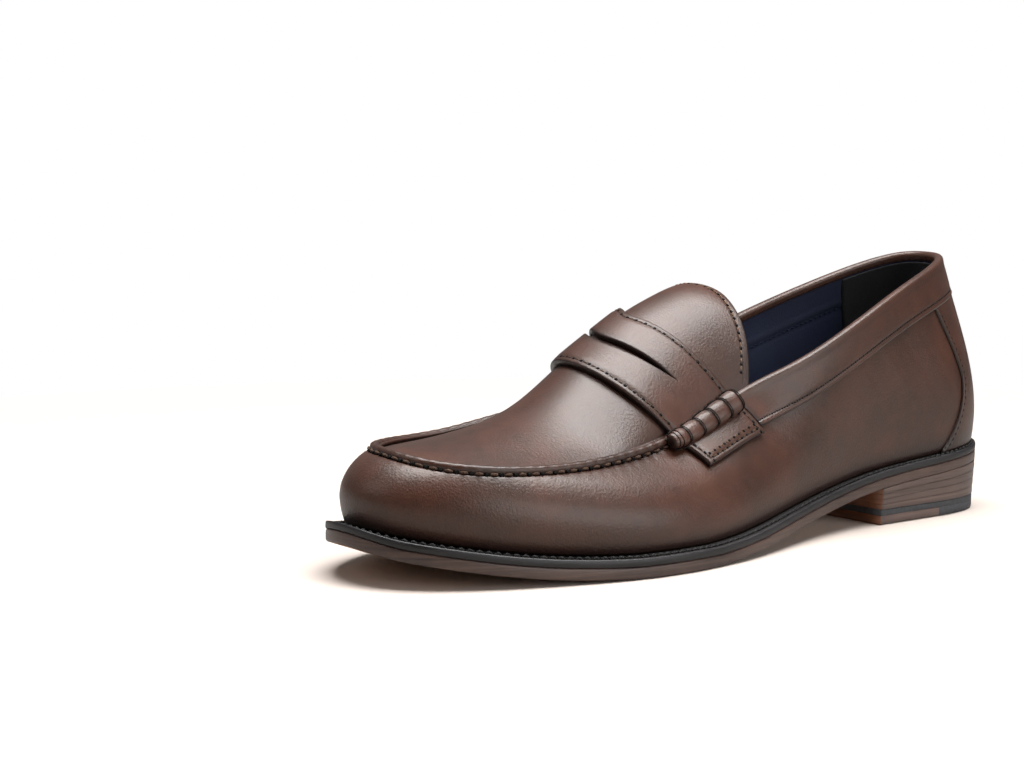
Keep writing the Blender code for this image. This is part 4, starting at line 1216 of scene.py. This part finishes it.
def build_sock():
    """The sock lining that the foot stands on."""
    layers = [(SOCK_INSET + 0.1, over_sole(INSOLE_TOP - 0.9)), (SOCK_INSET, over_sole(INSOLE_TOP - 0.3)),
              (SOCK_INSET + 0.3, over_sole(INSOLE_TOP))]
    slab("sock_lining", layers, [NAVY], "sock_liner")


def build_heel():
    """Leather lifts over a top piece that has leather in front and rubber behind and above."""
    stack_looks = [HEEL_EDGE, HEEL_EDGE, BREAST]
    for number in range(VISUAL_LIFTS):
        low, high = number / VISUAL_LIFTS, (number + 1) / VISUAL_LIFTS
        inset = 0.9 - 0.4 * (low + high)
        layers = [(inset + 0.14, in_heel(low, 0)), (inset + 0.04, in_heel(low, 0.08)),
                  (inset, in_heel(low, 0.3)), (inset - 0.02, in_heel(high, -0.3)),
                  (inset + 0.03, in_heel(high, -0.08)), (inset + 0.14, in_heel(high, -0.01))]
        slab(f"heel_lift_leather_{number + 1}", layers, stack_looks,
             f"heel_lift_{number + 1}" if number < LIFTS else None, BREAST_Y, rows=90)
    foot = [(1.6, flat(0.0)), (1.1, flat(0.25)), (1.0, flat(0.8))]
    slab("heel_top_leather", foot + [(1.0, flat(3.5))], stack_looks, "top_piece_leather",
         BREAST_Y, TOP_PIECE_SPLIT, rows=60)
    slab("heel_top_rubber_rear", foot + [(1.0, flat(3.6))], [RUBBER], "top_piece_rubber",
         TOP_PIECE_SPLIT + 0.1, rows=80)
    layers = [(1.0, flat(3.55)), (0.97, flat(3.7)), (0.95, flat(5.7)), (1.1, flat(5.95))]
    slab("heel_top_rubber_upper", layers, [RUBBER], first=BREAST_Y, rows=90)


def dress_inner_nodes():
    """Pieces inside the shoe keep their frame shape."""
    looks = {"insole": BOARD, "insole_rib": BOARD, "heel_counter": BOARD, "toe_puff": BOARD,
             "cork_filler": CORK, "shank": STEEL}
    for name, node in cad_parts.items():
        look = STEEL if name.startswith("heel_nail") else looks.get(name)
        if look is not None:
            for material_slot in node.material_slots:
                material_slot.material = look


# ---------------------------------------------------------------- studio: lengths in metres
# The camera's floor colour is warm to paint the shoe's warm bounce into the shadow; where the lamps light
# it, it clips to white. Other rays see a darker floor, which cuts bounce and reflections on the shoe.
FLOOR_SEEN = (0.68, 0.60, 0.545)
FLOOR_BOUNCE = (0.34, 0.32, 0.30)
WHITE = (1, 1, 1, 1)
FLOOR_HALF = 60
SHOE_MIDDLE = Vector((0, -0.11, 0.04))
# Name, place, width and height, and power in watts of each lamp.
LAMPS = (
    ("key_over", (0.06, -0.05, 1.3), (0.85, 1.4), 42.0),
    ("fill_right", (1.5, 0.25, 0.45), (1.6, 0.8), 11.5),
    ("fill_front", (-0.5, -1.5, 0.9), (0.8, 0.8), 2.0),
)
BRIGHT_SKY = (-0.72, 0.30, 0.62)
CAMERA_PLACE = (0.5109, -0.5843, 0.1282)
CAMERA_RIGHT = Vector((0.6059, 0.7955, 0.0063)).normalized()
CAMERA_FORWARD = Vector((-0.7909, 0.6032, -0.1032)).normalized()
CAMERA_LENS = 65.2


def build_floor():
    """A floor that the camera sees as warm white near the shoe, so that its shadow shows a painted warm
    bounce, and as pure white farther away.
    """
    mesh = bpy.data.meshes.new("floor")
    corners = [(x * FLOOR_HALF, y * FLOOR_HALF, 0) for x, y in ((-1, -1), (1, -1), (1, 1), (-1, 1))]
    mesh.from_pydata(corners, [], [(0, 1, 2, 3)])
    floor = put_in_scene("floor", mesh)
    floor.location.z = -0.0002
    white = bpy.data.materials.new("studio_floor")
    white.use_nodes = True
    tree = white.node_tree
    shader = tree.nodes["Principled BSDF"]
    seen = add_node(tree, "LightPath").outputs["Is Camera Ray"]
    set_inputs(tree, shader, {"Base Color": mix_colour(tree, seen, FLOOR_BOUNCE, FLOOR_SEEN),
                              "Roughness": 0.9, "Specular IOR Level": 0.1})
    place = add_node(tree, "TexCoord").outputs["Object"]
    from_shoe = add_node(tree, "VectorMath", {0: place, 1: (*SHOE_MIDDLE.xy, 0)}, operation="DISTANCE")
    far = combine(tree, "MULTIPLY", remap(tree, from_shoe.outputs["Value"], 0.3, 0.6), seen)
    glow = add_node(tree, "Emission", {"Color": WHITE, "Strength": 1.0})
    mix = add_node(tree, "MixShader", {0: far, 1: shader.outputs[0], 2: glow.outputs[0]})
    set_inputs(tree, tree.nodes["Material Output"], {"Surface": mix.outputs[0]})
    mesh.materials.append(white)


def build_lights():
    """Area lamps that face the shoe."""
    for name, place, size, power in LAMPS:
        data = bpy.data.lights.new(name, "AREA")
        data.shape = "RECTANGLE"
        data.size, data.size_y = size
        data.energy = power
        lamp = put_in_scene(name, data)
        lamp.location = place
        lamp.rotation_euler = (Vector(place) - SHOE_MIDDLE).to_track_quat("Z", "Y").to_euler()


def build_world():
    """Plain white for the camera; for the shoe, a dim sky that is brighter on one side."""
    world = bpy.data.worlds.new("studio")
    bpy.context.scene.world = world
    world.use_nodes = True
    tree = world.node_tree
    tree.nodes.clear()
    direction = add_node(tree, "TexCoord").outputs["Generated"]
    toward = add_node(tree, "VectorMath", {0: direction, 1: BRIGHT_SKY}, operation="DOT_PRODUCT")
    glow = remap(tree, toward.outputs["Value"], -0.1, 0.8, 0.05, 0.19)
    around = add_node(tree, "Background", {"Color": WHITE, "Strength": glow})
    seen = add_node(tree, "Background", {"Color": WHITE, "Strength": 1.0})
    path = add_node(tree, "LightPath")
    mix = add_node(tree, "MixShader",
                   {0: path.outputs["Is Camera Ray"], 1: around.outputs[0], 2: seen.outputs[0]})
    add_node(tree, "OutputWorld", {"Surface": mix.outputs[0]})
    bpy.context.scene.view_settings.view_transform = "Standard"


def build_camera():
    """The camera of the photo."""
    data = bpy.data.cameras.new("camera")
    data.lens = CAMERA_LENS
    data.sensor_width = 36
    data.clip_start = 0.01
    up = CAMERA_RIGHT.cross(CAMERA_FORWARD)
    turn = Matrix((CAMERA_RIGHT, up, -CAMERA_FORWARD)).transposed().to_4x4()
    camera = put_in_scene("camera", data)
    camera.matrix_world = Matrix.Translation(CAMERA_PLACE) @ turn
    bpy.context.scene.camera = camera


build_vamp()
build_apron()
build_seam()
build_strap()
build_roll("beef_roll_lateral", False)
build_roll("beef_roll_medial", True)
build_collar()
build_backstay()
build_tongue()
build_linings()
build_outsole()
build_welt()
build_sock()
build_heel()
dress_inner_nodes()
build_floor()
build_lights()
build_world()
build_camera()
